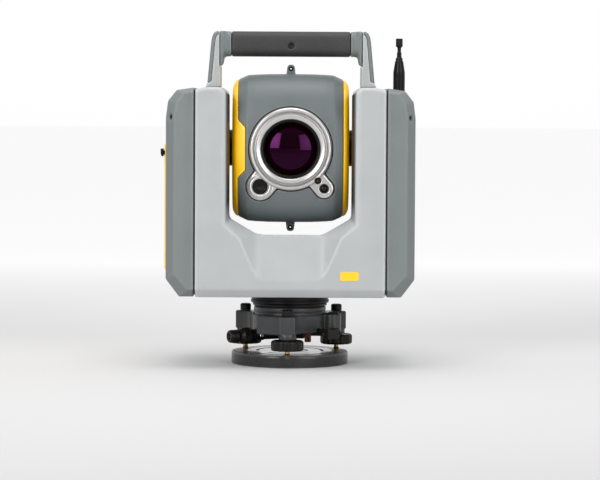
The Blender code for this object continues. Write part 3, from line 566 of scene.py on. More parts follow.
def build_yoke():
    top_corner = (YOKE_HALF_WIDTH, YOKE_HALF_DEPTH, YOKE_TOP)
    grid = Grid((-YOKE_HALF_WIDTH, -YOKE_HALF_DEPTH, YOKE_BOTTOM), top_corner, 1.2)
    width, depth = np.abs(grid.x), np.abs(grid.y)
    top = YOKE_TOP - 0.19 * np.maximum(width - 94, 0)
    block = both(
        width - YOKE_HALF_WIDTH,
        depth - YOKE_HALF_DEPTH,
        YOKE_BOTTOM - grid.z,
        grid.z - top,
        ((depth - 88) * 10 - (grid.z - 91) * 8) / 12.8,                  # bevel along the bottom
        (grid.z + depth - (top + YOKE_HALF_DEPTH - 2.5)) / DIAGONAL,     # along the legs' tops
        ((79 - width) * 7.5 + (grid.z - YOKE_TOP) * 9.5) / 12.1,         # and over the opening's edge
    )
    opening = lofted(grid, opening_outline)
    pocket_outline = [(120, 95), (120, 302), (77, 302), (77, 172), (81, 167), (48, 141), (48, 95)]
    pockets = both(polygon(width, grid.z, pocket_outline), depth - 70)
    around_trunnion = off_line(*grid.yz, (0, TRUNNION_Z))
    around_spindle = off_line(grid.x, grid.y)
    bosses = both(around_trunnion - 36, slab(width, 75, 90))
    button_at = (BUTTON_POINT[0], 0, BUTTON_POINT[1])
    port_at = (PORT_POINT[0], 0, PORT_POINT[1])
    rearwards = (0, 1, 0)
    yoke = either(without(block, opening, pockets), bosses)
    yoke = without(
        yoke,
        both(around_trunnion - (JOURNAL_R + 1.6), slab(width, 60, 100)),
        both(around_trunnion - 30.6, slab(width, 78, 100)),
        both(around_spindle - 38, slab(grid.z, 60, 95.5)),
        both(around_spindle - 20.5, slab(grid.z, 60, 133)),
        both(off_line(grid.x, grid.z - FLOOR_Z - 8.5) - 10.2, depth - 8),
        rod(grid, 5.6, 83, 100, button_at, rearwards),
        rod(grid, 3.2, 60, 100, button_at, rearwards),
        rod(grid, 9.5, 60, 100, port_at, rearwards),
    )
    item = solid("yoke", grid, yoke, "silver")
    # a dark painted shade on the legs' inner edges where they face the drum
    mark_painted_shade(item)
    settle(item, "alidade", "silver_paint", "yoke_housing")

    grid = Grid((56, -89.2, 100.6), (77.1, -87.7, 110.9), 0.3)
    plan = round_box(grid.xz, (56.2, 100.8), (76.9, 110.7), 1.2)
    rim = -round_box(grid.xz, (57.2, 101.8), (75.9, 109.7), 0.8)
    badge = both(plan, slab(grid.y, -88.45, -87.8), either(rim, -88.25 - grid.y))
    settle(solid("blank_badge", grid, badge, "yellow"), "alidade", "yellow_plastic")


# ---- Side covers, door and latch -------------------------------------------------------------
def cover_outline(y):
    """A side cover's outline in XZ at a depth; the front and rear bevels draw it in."""
    depth = abs(y)
    part = max(depth - (COVER_HALF_DEPTH - COVER_BEVEL), 0) / COVER_BEVEL
    inset, bottom, top = 10 * part, 9 * part, 3 * part
    crown = float(np.interp(depth, (0, 36, 71), (COVER_CROWN, 0.65 * COVER_CROWN, 0)))
    outer = COVER_OUTER_X + crown - inset
    return [
        (60, YOKE_BOTTOM + bottom),
        (125 - inset, YOKE_BOTTOM + bottom),
        (outer - crown * 0.6, 101 + bottom * 0.7),
        (outer, 180),
        (outer, 282),
        (outer - 2.4, 300.7 - top * 0.8),
        (128 - inset * 0.8, 313 - top),
        (60, 323.2 - top),
    ]


def build_cover(name):
    far = (COVER_OUTER_X + COVER_CROWN, COVER_HALF_DEPTH, 316)
    grid = Grid((COVER_INNER_X, -COVER_HALF_DEPTH, YOKE_BOTTOM), far, 0.95)
    face = np.abs(grid.y) - COVER_HALF_DEPTH + 0.10 * np.maximum(grid.x - COVER_CREASE_X, 0)
    volume = both(lofted(grid, cover_outline), face)
    shell = both(volume, -(volume + COVER_WALL), COVER_INNER_X - grid.x)
    x, y, z = COVER_SCREW
    for side in (-1, 1):
        axis = (COVER_SCREW_AXIS[0], side * COVER_SCREW_AXIS[1], 0)
        recess = rod(grid, 3.9, -2.6, 8, (x, side * y, z), axis)
        seat = both(rod(grid, 5.5, -4.5, -0.5, (x, side * y, z), axis), volume)
        shell = without(either(shell, seat), recess)
    if name == "left":
        low = (-DOOR_HALF_DEPTH - 0.5, DOOR_Z[0] - 0.7)
        high = (DOOR_HALF_DEPTH + 0.5, DOOR_Z[1] + 0.6)
        opening = round_box(grid.yz, low, high, 1.0)
        shell = without(shell, both(opening, 128 - grid.x))
    else:
        panel = round_box(grid.yz, (-52, 118), (52, 246), 7)
        shell = without(shell, both(panel, -(volume + 0.8), 128 - grid.x))
        antenna_at = (ANTENNA_X, 0, 0)
        boss = both(rod(grid, 10, 299, 308, antenna_at), volume)
        shell = either(shell, boss)
        shell = without(shell, rod(grid, 7.2, 305.5, 330, antenna_at), rod(grid, 3.5, 290, 330, antenna_at))
    item = solid("cover_" + name, grid, shell, "cover", mirror=name == "left")
    settle(item, "alidade", "green_grey_cover", "side_cover_" + name)

    side_x = SIDES[name]
    profile = [(0, 0.4), (1.0, 0.4), (1.1, 1.1), (2.0, 1.0), (2.4, 0.4), (2.4, -0.3), (0, -0.3)]
    for end, side_y in (("front", -1), ("rear", 1)):
        axis = Vector((side_x * COVER_SCREW_AXIS[0], side_y * COVER_SCREW_AXIS[1], 0)).normalized()
        at = Vector((side_x * x, side_y * y, z)) - axis * 2.4
        turned(f"cover_screw_{name}_{end}", profile, "black", "alidade", "black_plastic",
               at=at, along=axis, segments=24, ease=0.1)


def build_gaskets():
    for name, side in SIDES.items():
        grid = Grid((106.8, -85.8, 83.2), (108.1, 85.8, 313.8), 0.8)
        outer = round_box(grid.yz, (-85.6, 83.4), (85.6, 313.6), 5)
        inner = round_box(grid.yz, (-79, 92), (79, 308), 5)
        gasket = both(outer, -inner, slab(grid.x, 106.95, 107.95))
        item = solid("gasket_" + name, grid, gasket, "gasket", mirror=side < 0, passes=0, merge=0.2)
        settle(item, "alidade", "black_rubber", "cover_gasket_" + name)


def door_outer(y):
    return np.interp(np.abs(y), (0, 25, DOOR_HALF_DEPTH), (144.8, 144.0, 142.0))


def build_door():
    half = DOOR_HALF_DEPTH
    grid = Grid((137.6, -half, DOOR_Z[0]), (144.8, half, DOOR_Z[1]), 0.6)
    plan = round_box(grid.yz, (-half, DOOR_Z[0]), (half, DOOR_Z[1]), 3)
    outer = door_outer(grid.y).astype(np.float32)
    skin = grid.x - outer
    panel = both(round_box(grid.yz, (-30, 128), (30, 226), 6), outer - 1.1 - grid.x)
    slot = both(slab(grid.y, -45.5, -40.5), slab(grid.z, 229, 245))
    door = without(both(skin, plan, bevel(skin, plan, 1.2), 137.6 - grid.x), panel, slot)
    for z in range(134, 224, 8):
        rib = round_box(grid.yz, (-26, z), (26, z + 2.4), 1.1)
        door = either(door, both(rib, skin + 0.35, 139 - grid.x))
    settle(solid("door", grid, door, "yellow", mirror=True), "door", "yellow_plastic", "battery_door")

    low_z, high_z = LATCH_Z
    grid = Grid((136, -49.5, low_z), (147, -37, 252), 0.4)
    tip = 147 - 1.2 * np.maximum(241 - grid.z, 0) / 3
    tab = both(round_box(grid.yz, (-49.5, low_z), (-37, high_z), 1.5), slab(grid.x, 143.7, tip))
    for z in (240.6, 242.6, 244.6):
        tab = without(tab, both(slab(grid.z, z - 0.4, z + 0.4), 146.2 - grid.x, slab(grid.y, -48, -38.5)))
    stem = round_box(grid.xyz, (136.9, -45.1, 240), (144.2, -40.9, 244.6), 0.3)
    tongue = round_box(grid.xyz, (136.0, -47, low_z), (137.2, -39, 252), 0.3)
    latch = either(tab, stem, tongue)
    settle(solid("latch", grid, latch, "black", mirror=True), "latch", "black_plastic", "door_latch")

    grid = Grid(*BATTERY_BOX, 1.0)
    battery = round_box(grid.xyz, *BATTERY_BOX, 3)
    pull = both(round_box(grid.yz, (-14, 222), (14, 238), 4), 132 - grid.x)
    label = both(round_box(grid.yz, (-30, 130), (30, 200), 3), 134.9 - grid.x)
    battery = without(battery, pull, label)
    settle(solid("battery_pack", grid, battery, "black", mirror=True), "alidade", "black_plastic", "battery")


def build_rear_controls():
    x, z = BUTTON_POINT
    rearwards = (0, 1, 0)
    cap = [(0, 74), (2.6, 74), (2.6, 84.8), (5.0, 84.8), (5.0, 87.9), (4.5, 88.5), (3.6, 88.55),
           (2.4, 88.1), (0, 88.0)]
    turned("power_cap", cap, "black", "button", "black_plastic", "power_button",
           at=(x, 0, z), along=rearwards, segments=64, ease=0.2)
    lens = [(0, 88.05), (1.3, 88.05), (1.2, 88.35), (0, 88.45)]
    turned("power_lamp", lens, "vial", "button", "clear_glass",
           at=(x, 0, z), along=rearwards, segments=32, ease=0.1)

    x, z = PORT_POINT
    grid = Grid((x - 9, 70, z - 9), (x + 9, 88.6, z + 9), 0.35)
    around = off_line(*grid.xz, PORT_POINT)
    body = both(around - 9, slab(grid.y, 70, 88.6), bevel(around - 9, grid.y - 88.6, 0.9))
    body = without(body, both(around - 6, 78 - grid.y), both(slab(around, 7.0, 7.8), 88.0 - grid.y))
    key = both(round_box((grid.x - x, grid.z - z), (-1.0, 4.6), (1.0, 6.6), 0.3), slab(grid.y, 77, 87))
    settle(solid("port", grid, either(body, key), "steel"), "alidade", "bare_steel", "data_port")
    pin = [(0, 78.1), (0.55, 78.1), (0.55, 84.6), (0.3, 85.2), (0, 85.3)]
    for count in range(7):
        ring_x, ring_z = polar(3.3 * (count > 0), 60 * count)
        turned(f"port_pin_{count + 1}", pin, "brass", "alidade", "brass_fittings",
               at=(x + ring_x, 0, z + ring_z), along=rearwards, segments=16, ease=0.1)


# ---- Handle and antenna ----------------------------------------------------------------------
def build_handle():
    low = YOKE_TOP + 0.3
    outer_side = [(98.0, low), (96.2, 320), (95.4, 324), (91.4, 368), (90.3, 374.5), (88, 379),
                  (84.5, HANDLE_TOP)]
    arm_section = [(79.6, low), *outer_side, (79.6, HANDLE_TOP)]
    plate_top = 380.9
    plate_section = [(76.8, plate_top), (76.8, 347), (78.0, 343.2), (COLLAR_PLATE_X, 340.5),
                     (COLLAR_PLATE_X, plate_top)]
    collar_start = GRIP_HALF_LENGTH + 0.3
    for name, side in SIDES.items():
        grid = Grid((67.5, -ARM_HALF_DEPTH, low), (98, ARM_HALF_DEPTH, HANDLE_TOP), 0.6)
        arm_plan = polygon(*grid.xz, arm_section)
        ends = np.abs(grid.y) - ARM_HALF_DEPTH
        volume = both(arm_plan, ends, bevel(arm_plan, ends, 1.6))
        inlay_end = (grid.z - 321.5) * 0.9 + (grid.x - 96) * 0.44
        outer_edge = polygon(*grid.xz, [(40, low - 20), (99, low - 20), *outer_side, (40, HANDLE_TOP)])
        strip = both(arm_plan, -(outer_edge + INLAY_WIDTH), 83.2 - grid.x, -inlay_end)
        plate_plan = polygon(*grid.xz, plate_section)
        arm = without(volume, strip - SEAM, plate_plan - SEAM)
        item = solid("handle_arm_" + name, grid, arm, "silver", mirror=side < 0)
        settle(item, "alidade", "silver_paint", "handle_arm_" + name)
        inlay = both(strip, volume + 0.15)
        item = solid("handle_inlay_" + name, grid, inlay, "cover", mirror=side < 0, passes=0)
        settle(item, "alidade", "green_grey_cover")

        flare = np.interp(grid.x, (68, 74, 78), (0, 0.2, 1.4)).astype(np.float32)
        stretched = grid.y / (GRIP_HALF_DEPTH - 0.2 + flare) * GRIP_HALF_DEPTH
        neck_low = (-GRIP_HALF_DEPTH, GRIP_UNDERSIDE + 0.2)
        neck = round_box((stretched, grid.z), neck_low, (GRIP_HALF_DEPTH, HANDLE_TOP - 0.4), 9)
        neck = both(neck, slab(grid.x, collar_start, 79))
        plate = both(plate_plan, ends + 0.3, bevel(plate_plan, ends, 2.6))
        collar = both(merged(neck, plate, 5), ends + 0.3, slab(grid.x, collar_start, COLLAR_PLATE_X),
                      grid.z - HANDLE_TOP + 0.1)
        item = solid("handle_collar_" + name, grid, collar, "cover", mirror=side < 0)
        settle(item, "alidade", "green_grey_cover", "handle_collar_" + name)

    grip_low = (-GRIP_HALF_DEPTH, GRIP_UNDERSIDE)
    grip_high = (GRIP_HALF_DEPTH, HANDLE_TOP - 0.2)
    grid = Grid((-GRIP_HALF_LENGTH, *grip_low), (GRIP_HALF_LENGTH, *grip_high), 0.8)
    grip = round_box(grid.yz, grip_low, grip_high, 9.5)
    ends = np.abs(grid.x) - GRIP_HALF_LENGTH
    grip = both(grip, ends, bevel(grip, ends, 1.2))
    hole = rod(grid, 3.1, 9, 20, (0, 0, 364), (0, -1, 0))
    mouth = both(off_line(*grid.xz, (0, 364)) - 3.1 - np.maximum(-grid.y - 14, 0) * 1.3, grid.y + 13.5)
    item = solid("grip", grid, without(grip, hole, mouth), "charcoal")
    settle(item, "alidade", "charcoal_grip", "handle_grip")


def build_antenna():
    rings = [(2.6, 352.2), (2.9, 353.2), (2.3, 353.8), (2.9, 354.6), (2.9, 355.2), (2.2, 355.8),
             (2.8, 356.6), (2.8, 357.2)]
    profile = [(0, 305.9), (6.75, 305.9), (6.75, 334.5), (5.9, 340), (4.7, 347.4), (4.0, 348), (4.0, 350.6),
               (3.4, 351.4), *rings, (2.0, 358), (2.2, 363), (3.7, 364.2), (3.95, 364.8), (3.95, 372.7),
               (3.4, 373.5), (0, 373.5)]
    base_ribs = flutes(20, 0.35, 306.2, 334.3, 3)
    head_ribs = flutes(20, 0.25, 364.9, 372.6, 3)

    def relief(angle, height):
        return base_ribs(angle, height) * 0.4 + head_ribs(angle, height)

    turned("whip", profile, "black", "alidade", "black_plastic", "antenna",
           at=(ANTENNA_X, 0, 0), ease=0.3, segments=120, relief=relief)


# ---- Foot, skirt and levelling base ----------------------------------------------------------
def build_skirt_and_foot():
    skirt = [(16, 67), (42.5, 67), (42.5, 69.4), (44.6, 70.4), (45, 71.0), (45, 73.2), (44.2, 73.8),
             (44.2, 80.7), (16, 80.7)]
    turned("skirt", skirt, "black", "alidade", "black_plastic", "alidade_skirt", ease=0.35)
    foot = [(0, 55), (22, 55), (22, 51.8), (41.4, 51.8), (41.4, 59.6), (40.7, 60.1), (40.7, 60.9),
            (41.4, 61.4), (41.4, 65.2), (40, 66.5), (12.4, 66.5), (12.4, 58.1), (0, 58.1)]
    turned_on_base("foot", foot, "tribrach", "tribrach_paint", "instrument_foot", ease=0.35)


def arm_outline(azimuth):
    """A tribrach arm's outline: wide at the waist, narrow and blunt at its end."""
    ax, ay = polar(1, azimuth)
    corners = [(20, 19), (39, 18), (45, 14), (52, 11.2), (60, 9.6), (69.5, 9)]
    sides = corners + [(r, -t) for r, t in reversed(corners)]
    return [(r * ax - t * ay, r * ay + t * ax) for r, t in sides]


def build_tribrach_body():
    low_z, high_z = BODY_Z
    grid = Grid((-66, -70, 31), (66, 54, high_z), 0.75)
    off_axis = off_line(grid.x, grid.y)
    plan = off_axis - BODY_WAIST_R
    for azimuth in SCREW_AZIMUTHS.values():
        plan = merged(plan, polygon(grid.x, grid.y, arm_outline(azimuth)), 8.0)
    web = polygon(grid.x, grid.y, [(-6.8, -68.3), (-35.5, -50), (-31, -29), (-4, -40)])
    level = off_line(grid.x, grid.y, LEVEL_POINT)
    plan = either(merged(plan, level - 10, 2.0), web)
    sides = slab(grid.z, low_z, high_z)
    body = without(
        both(plan, sides, bevel(plan, sides, 0.9)),
        both(off_axis - 39, slab(grid.z, 20, 46.5)),
        both(off_axis - 42.3, 51.5 - grid.z),
        both(off_axis - 26, slab(grid.z, 20, 60)),
    )
    for azimuth in SCREW_AZIMUTHS.values():
        around = off_line(grid.x, grid.y, polar(SCREW_PCD_R, azimuth))
        body = either(body, both(around - 10, slab(grid.z, 31.5, 38)))
        body = without(body, both(around - 3.3, slab(grid.z, 0, 70)))
        body = without(body, rod(grid, 4.0, 46, 60, (*polar(34, azimuth + 60), 0)))
    body = without(
        body,
        both(level - 8.1, 49.9 - grid.z),
        rod(grid, 6.6, 0, 60, (0, 0, PLUMMET_Z), (*polar(1, PLUMMET_AZIMUTH), 0)),
        rod(grid, 3.3, 30, 70, (0, 0, LOCK_POINT[2]), (*polar(1, LOCK_AZIMUTH), 0)),
    )
    item = solid("tribrach", grid, body, "tribrach", turn=BASE_TURN)
    settle(item, "tribrach", "tribrach_paint", "tribrach_body")


def build_base_plate():
    grid = Grid((-PLATE_R, -PLATE_R, 0), (PLATE_R, PLATE_R, PLATE_TOP), 0.65)
    off_axis = off_line(grid.x, grid.y)
    plan = off_axis - PLATE_R
    for azimuth in SCREW_AZIMUTHS.values():
        ax, ay = polar(1, azimuth)
        plan = both(plan, grid.x * ax + grid.y * ay - 66.45)
    bevels = both(bevel(plan, grid.z - PLATE_TOP, 0.7), bevel(plan, -grid.z, 0.8))
    plate = both(plan, slab(grid.z, 0, PLATE_TOP), bevels)
    plate = without(plate, both(slab(off_axis, 20, 50), 13 - grid.z), off_axis - 7.9)
    plate = without(plate, both(slab(off_axis, 35.4, 39.6), 7 - grid.z))
    for azimuth in SCREW_AZIMUTHS.values():
        around = off_line(grid.x, grid.y, polar(SCREW_PCD_R, azimuth))
        plate = without(plate, off_line(around, grid.z, (0, BALL_Z)) - BALL_R - 0.4)
    item = solid("base_plate", grid, plate, "plate", turn=BASE_TURN, passes=0)
    settle(item, "tribrach", "tribrach_paint", "tribrach_base_plate")

    grid = Grid((-50, -50, 13.2), (50, 50, 14.3), 0.5)
    off_axis = off_line(grid.x, grid.y)
    spring = both(slab(off_axis, 21, 49.6), slab(grid.z, 13.3, 14.2))
    bearing = np.degrees(np.arctan2(grid.y, grid.x))
    for azimuth in SCREW_AZIMUTHS.values():
        apart = np.abs((bearing - azimuth + 180) % 360 - 180)
        across = np.maximum(apart - 36, 0) * math.radians(1) * 37.5
        spring = without(spring, off_line(off_axis, across, (37.5, 0)) - 1.5)
    item = solid("spring", grid, spring, "gloss", turn=BASE_TURN, passes=0)
    settle(item, "tribrach", "bare_steel", "spring_plate")


def build_foot_screws():
    low_z, high_z = KNOB_Z
    cap = [(0, 58.3), (6.25, 58.3), (6.25, 64.6), (5.4, 65.6), (4.4, 66), (0, 66)]
    cap_ribs = flutes(36, 0.25, 58.9, 64.4, 2)
    ball = [polar(BALL_R, a) for a in range(-75, 46, 15)]
    thread = []
    for i in range(24):
        thread += [(2.75, 32 + i * 0.8), (2.35, 32.4 + i * 0.8)]
    stem = [(0, BALL_Z - BALL_R), *[(r, BALL_Z + z) for r, z in ball], (2.6, BALL_Z + 3.8), (2.8, 17.6),
            (2.8, 31.5), *thread, (2.7, 52), (0, 52)]
    for name, azimuth in SCREW_AZIMUTHS.items():
        at = (*polar(SCREW_PCD_R, azimuth), 0)
        turned_on_base("cap_" + name, cap, "black", "black_plastic", "footscrew_cap_" + name,
                       at=at, ease=0.5, segments=144, relief=cap_ribs)

        body = name + "_footscrew"
        grid = Grid((-KNOB_R, -KNOB_R, low_z), (KNOB_R, KNOB_R, high_z), 0.45)
        off_axis = off_line(grid.x, grid.y)
        wave = np.cos(np.arctan2(grid.y, grid.x) * 12)
        plan = off_axis - KNOB_R + 1.3 * np.clip(-wave * 1.6 - 0.5, 0, 1)
        sides = slab(grid.z, low_z, high_z)
        knob = both(plan, sides, bevel(plan, sides, 1.8), 3.1 - off_axis)
        dish = both(slab(off_axis, 7, 14.5), 30.4 - grid.z)
        item = solid("knob_" + name, grid, without(knob, dish), "black", offset=at, turn=BASE_TURN)
        settle(item, body, "black_plastic", "footscrew_knob_" + name)
        turned_on_base("stem_" + name, stem, "brass", "brass_fittings", "footscrew_stem_" + name,
                       body=body, at=at, ease=0.15, segments=40)


def build_plummet():
    along = (*polar(1, PLUMMET_AZIMUTH), 0)
    at = (0, 0, PLUMMET_Z)
    focus = [(4, 52.2), (8.0, 52.2), (9.5, 53.6), (9.5, 61.4), (8.8, 62.2), (8.2, 62.8), (8.2, 65.3),
             (4, 65.3)]
    turned_on_base("plummet_focus", focus, "black", "black_plastic", "plummet_focus_ring",
                   body="plummet_focus", at=at, along=along, segments=144,
                   relief=flutes(36, 0.45, 53.8, 61.2, 2), ease=0.3)
    eyepiece = [(0, 65.8), (6.4, 65.8), (7.2, 67.4), (7.4, 68.0), (7.4, 75.4), (7.0, 77.2), (6.3, 78.2),
                (4.4, 78.2), (3.2, 76.4), (3, 75.4), (0, 75.4)]
    turned_on_base("plummet_eyepiece_barrel", eyepiece, "black", "black_plastic", "plummet_eyepiece",
                   body="plummet_ocular", at=at, along=along, segments=144,
                   relief=flutes(14, 0.6, 68.6, 75.2, 1.5), ease=0.3)
    glass = [(0, 75.5), (2.9, 75.5), (2.9, 76.0), (1.6, 76.5), (0, 76.7)]
    turned_on_base("plummet_eye_lens", glass, "coated", "coated_glass", body="plummet_ocular",
                   at=at, along=along, segments=32, ease=0.1)
    tube = [(3.2, 13), (5, 13), (5, 34.5), (5.8, 35), (5.8, 43.2), (7.2, 44.5), (7.2, 51.6), (3.2, 51.6)]
    turned_on_base("plummet_barrel", tube, "black", "black_plastic", "plummet_tube",
                   at=at, along=along, segments=48, ease=0.3)

    grid = Grid((-8, -8, 24), (38.4, 8, 38), 0.5)
    housing = round_box(grid.xyz, (-8, -8, 26.5), (8, 8, 38), 1.0)
    arm = round_box(grid.xyz, (6, -2, 31), (38.4, 2, 37), 0.8)
    foot = round_box(grid.xyz, (8, -5, 28), (17, 5, 37.5), 1.0)
    housing = without(either(housing, arm, foot), rod(grid, 5.4, 0, 30, at, along))
    settle(solid("prism_box", grid, housing, "black", turn=BASE_TURN), "tribrach", "black_plastic")
    block_box = ((17.2, -5, 24), (24.6, 5, 37.4))
    grid = Grid(*block_box, 0.4)
    block = round_box(grid.xyz, *block_box, 0.9)
    block = without(block, both(off_line(*grid.xz, (21, 27.5)) - 1.3, grid.y + 4))
    item = solid("prism_block", grid, block, "bronze", turn=BASE_TURN)
    settle(item, "tribrach", "brass_fittings", "plummet_prism_housing")
    sideways = Vector((*polar(1, PLUMMET_AZIMUTH + 90), 0))
    point = Vector((*polar(39.5, PLUMMET_AZIMUTH), PLUMMET_Z)) + sideways * 5.2
    screw = [(0, 2.0), (0.5, 2.0), (0.7, 2.5), (1.6, 2.4), (2.2, 1.9), (2.2, 0), (0, 0)]
    turned_on_base("adjusting_screw", screw, "steel", "bare_steel",
                   at=point, along=sideways, segments=24, ease=0.2)


def build_level():
    at = (*LEVEL_POINT, 0)
    ring = [(6.6, 57.0), (8.0, 57.0), (8.0, 58.3), (7.2, 58.8), (6.6, 58.5)]
    turned_on_base("level_ring", ring, "black", "black_plastic", at=at, ease=0.15)
    vial = [(0, 50.3), (7.6, 50.3), (7.6, 56.8), (6.5, 57.0), (6.5, 57.4), (4, 58.0), (0, 58.2)]
    turned_on_base("level_glass", vial, "vial", "clear_glass", "level_vial", at=at, ease=0.3)


def build_lock():
    outwards = Vector((*polar(1, LOCK_AZIMUTH), 0))
    across = Vector((-outwards.y, outwards.x, 0))
    grid = Grid((-22, -14, -9), (5, 14.6, 5), 0.4)
    arrow = polygon(*grid.yz, [(-11, -8), (6, -8), (14, -1.5), (8, 4.4), (-11, 4.4)])
    ends = np.abs(grid.x) - 4.5
    grip = both(arrow, ends, bevel(arrow, ends, 1.3))
    dimple = both(off_line(*grid.yz, (8, -1.8)) - 1.2, 2 - grid.x)
    shaft = both(off_line(*grid.yz) - 2.7, slab(grid.x, -21.8, -4))
    item = solid("lock", grid, either(without(grip, dimple), shaft), "black")
    turn_in = Matrix((outwards, across, Vector((0, 0, 1)))).transposed().to_4x4()
    place = Matrix.Rotation(math.radians(BASE_TURN), 4, "Z") @ Matrix.Translation(Vector(LOCK_POINT) * MM)
    item.data.transform(place @ turn_in)
    settle(item, "lock_lever", "black_plastic", "lock_knob")


# ---- Telescope -------------------------------------------------------------------------------
def drum_field(grid):
    """The telescope's outside: a rounded section that shrinks and grows rounder towards its ends."""
    xs, scales, powers = zip(*DRUM_STATIONS)
    width = np.abs(grid.x)
    scale = np.interp(width, xs, scales).astype(np.float32)
    power = np.interp(width, xs, powers).astype(np.float32)
    y = np.maximum(np.abs(grid.y) / (DRUM_Y * scale), 1e-3)
    z = np.maximum(np.abs(grid.z) / (DRUM_Z * scale), 1e-3)
    return true_distance(grid, ((y**power + z**power) ** (1 / power) - 1) * 80)


def badge_tab(grid, grow):
    """The widened front part of the left yellow band."""
    edge = -50.8 + grow
    upper = [(edge, 24 + grow * 0.6), (-TAB_FOOT_X, 33 + grow), (-70, 33 + grow)]
    lower = [(x, -z) for x, z in reversed(upper)]
    return both(polygon(*grid.xz, lower + upper), grid.y + 10)


def bezel_plan(grid):
    """The bezel's plan: a ring with two lobes, each tied to it by a web."""
    plan = off_line(*grid.xz) - BEZEL_R
    for (x, z), radius, root in LOBES:
        azimuth = math.atan2(z, x)
        reach = math.hypot(x, z)
        half = [(0, root), (WEB_END, root), (reach, radius)]
        outline = [
            (r * math.cos(azimuth) - t * math.sin(azimuth), r * math.sin(azimuth) + t * math.cos(azimuth))
            for r, t in half + [(r, -t) for r, t in reversed(half)]
        ]
        lobe = either(off_line(*grid.xz, (x, z)) - radius, polygon(*grid.xz, outline))
        plan = merged(plan, lobe, 1.2)
    return plan


def sight_tab(grid, up):
    """An open sight above (up = 1) or below (up = -1) the telescope."""
    outline = [(5.3, 83.0), (5.1, 85.5), (4.4, 92.3), (3.5, 94.4), (1.7, 95.4)]
    return both(polygon(grid.x, up * grid.z, mirrored(outline)), slab(grid.y, -6, -0.4))


def build_telescope_shells():
    for part, side in (("front", -1), ("rear", 1)):
        low_y, high_y = (-DRUM_Y, -0.15) if side < 0 else (0.15, DRUM_Y)
        grid = Grid((-DRUM_END_X, low_y, -DRUM_Z - 11), (DRUM_END_X, high_y, DRUM_Z + 11), 0.75)
        width = np.abs(grid.x)
        volume = both(drum_field(grid), width - DRUM_END_X)
        shell = both(volume, -(volume + DRUM_WALL))
        shell = without(shell, both(off_line(*grid.yz) - JOURNAL_R - 0.5, 50 - width))
        if side < 0:
            opening = both(bezel_plan(grid) - 0.95, grid.y + 40)
            shell = without(shell, opening, badge_tab(grid, SEAM))
            shell = either(shell, sight_tab(grid, 1), sight_tab(grid, -1))
            for up in (-1, 1):
                shell = without(shell, rod(grid, 1.9, -10, 10, (0, 0, up * SIGHT_Z), (0, 1, 0)))
        shell = both(shell, slab(grid.y, low_y, high_y))
        item = solid("telescope_" + part, grid, shell, "shell", offset=(0, 0, TRUNNION_Z), passes=0)
        settle(item, "telescope", "telescope_shell", f"telescope_{part}_shell")

    eyelet = [(0.85, 0.2), (1.85, 0.2), (1.85, 6.1), (2.9, 6.1), (2.8, 6.8), (1.6, 6.9), (0.85, 6.4)]
    for place, up in (("top", 1), ("bottom", -1)):
        turned_on_telescope("sight_eyelet_" + place, eyelet, "black", "black_plastic",
                            point=(0, up * SIGHT_Z), segments=32, ease=0.15)


def build_side_bands():
    for name, side in SIDES.items():
        grid = Grid((-BAND_END_X, -DRUM_Y, -DRUM_Z), (-46, DRUM_Y, DRUM_Z), 0.8)
        outside = drum_field(grid)
        width = -grid.x
        rim = width - BAND_END_X
        volume = both(outside, rim, (outside + width - BAND_END_X + 1.8) / DIAGONAL)
        band = both(volume, DRUM_END_X + 0.3 - width)
        if side < 0:
            band = either(band, both(volume, badge_tab(grid, 0)))
        inner = both(volume + 3.4, rim + 3)
        band = without(band, inner, off_line(*grid.yz) - JOURNAL_R - 0.5)
        item = solid("band_" + name, grid, band, "yellow", offset=(0, 0, TRUNNION_Z), mirror=side > 0)
        settle(item, "telescope", "yellow_plastic", "side_band_" + name)


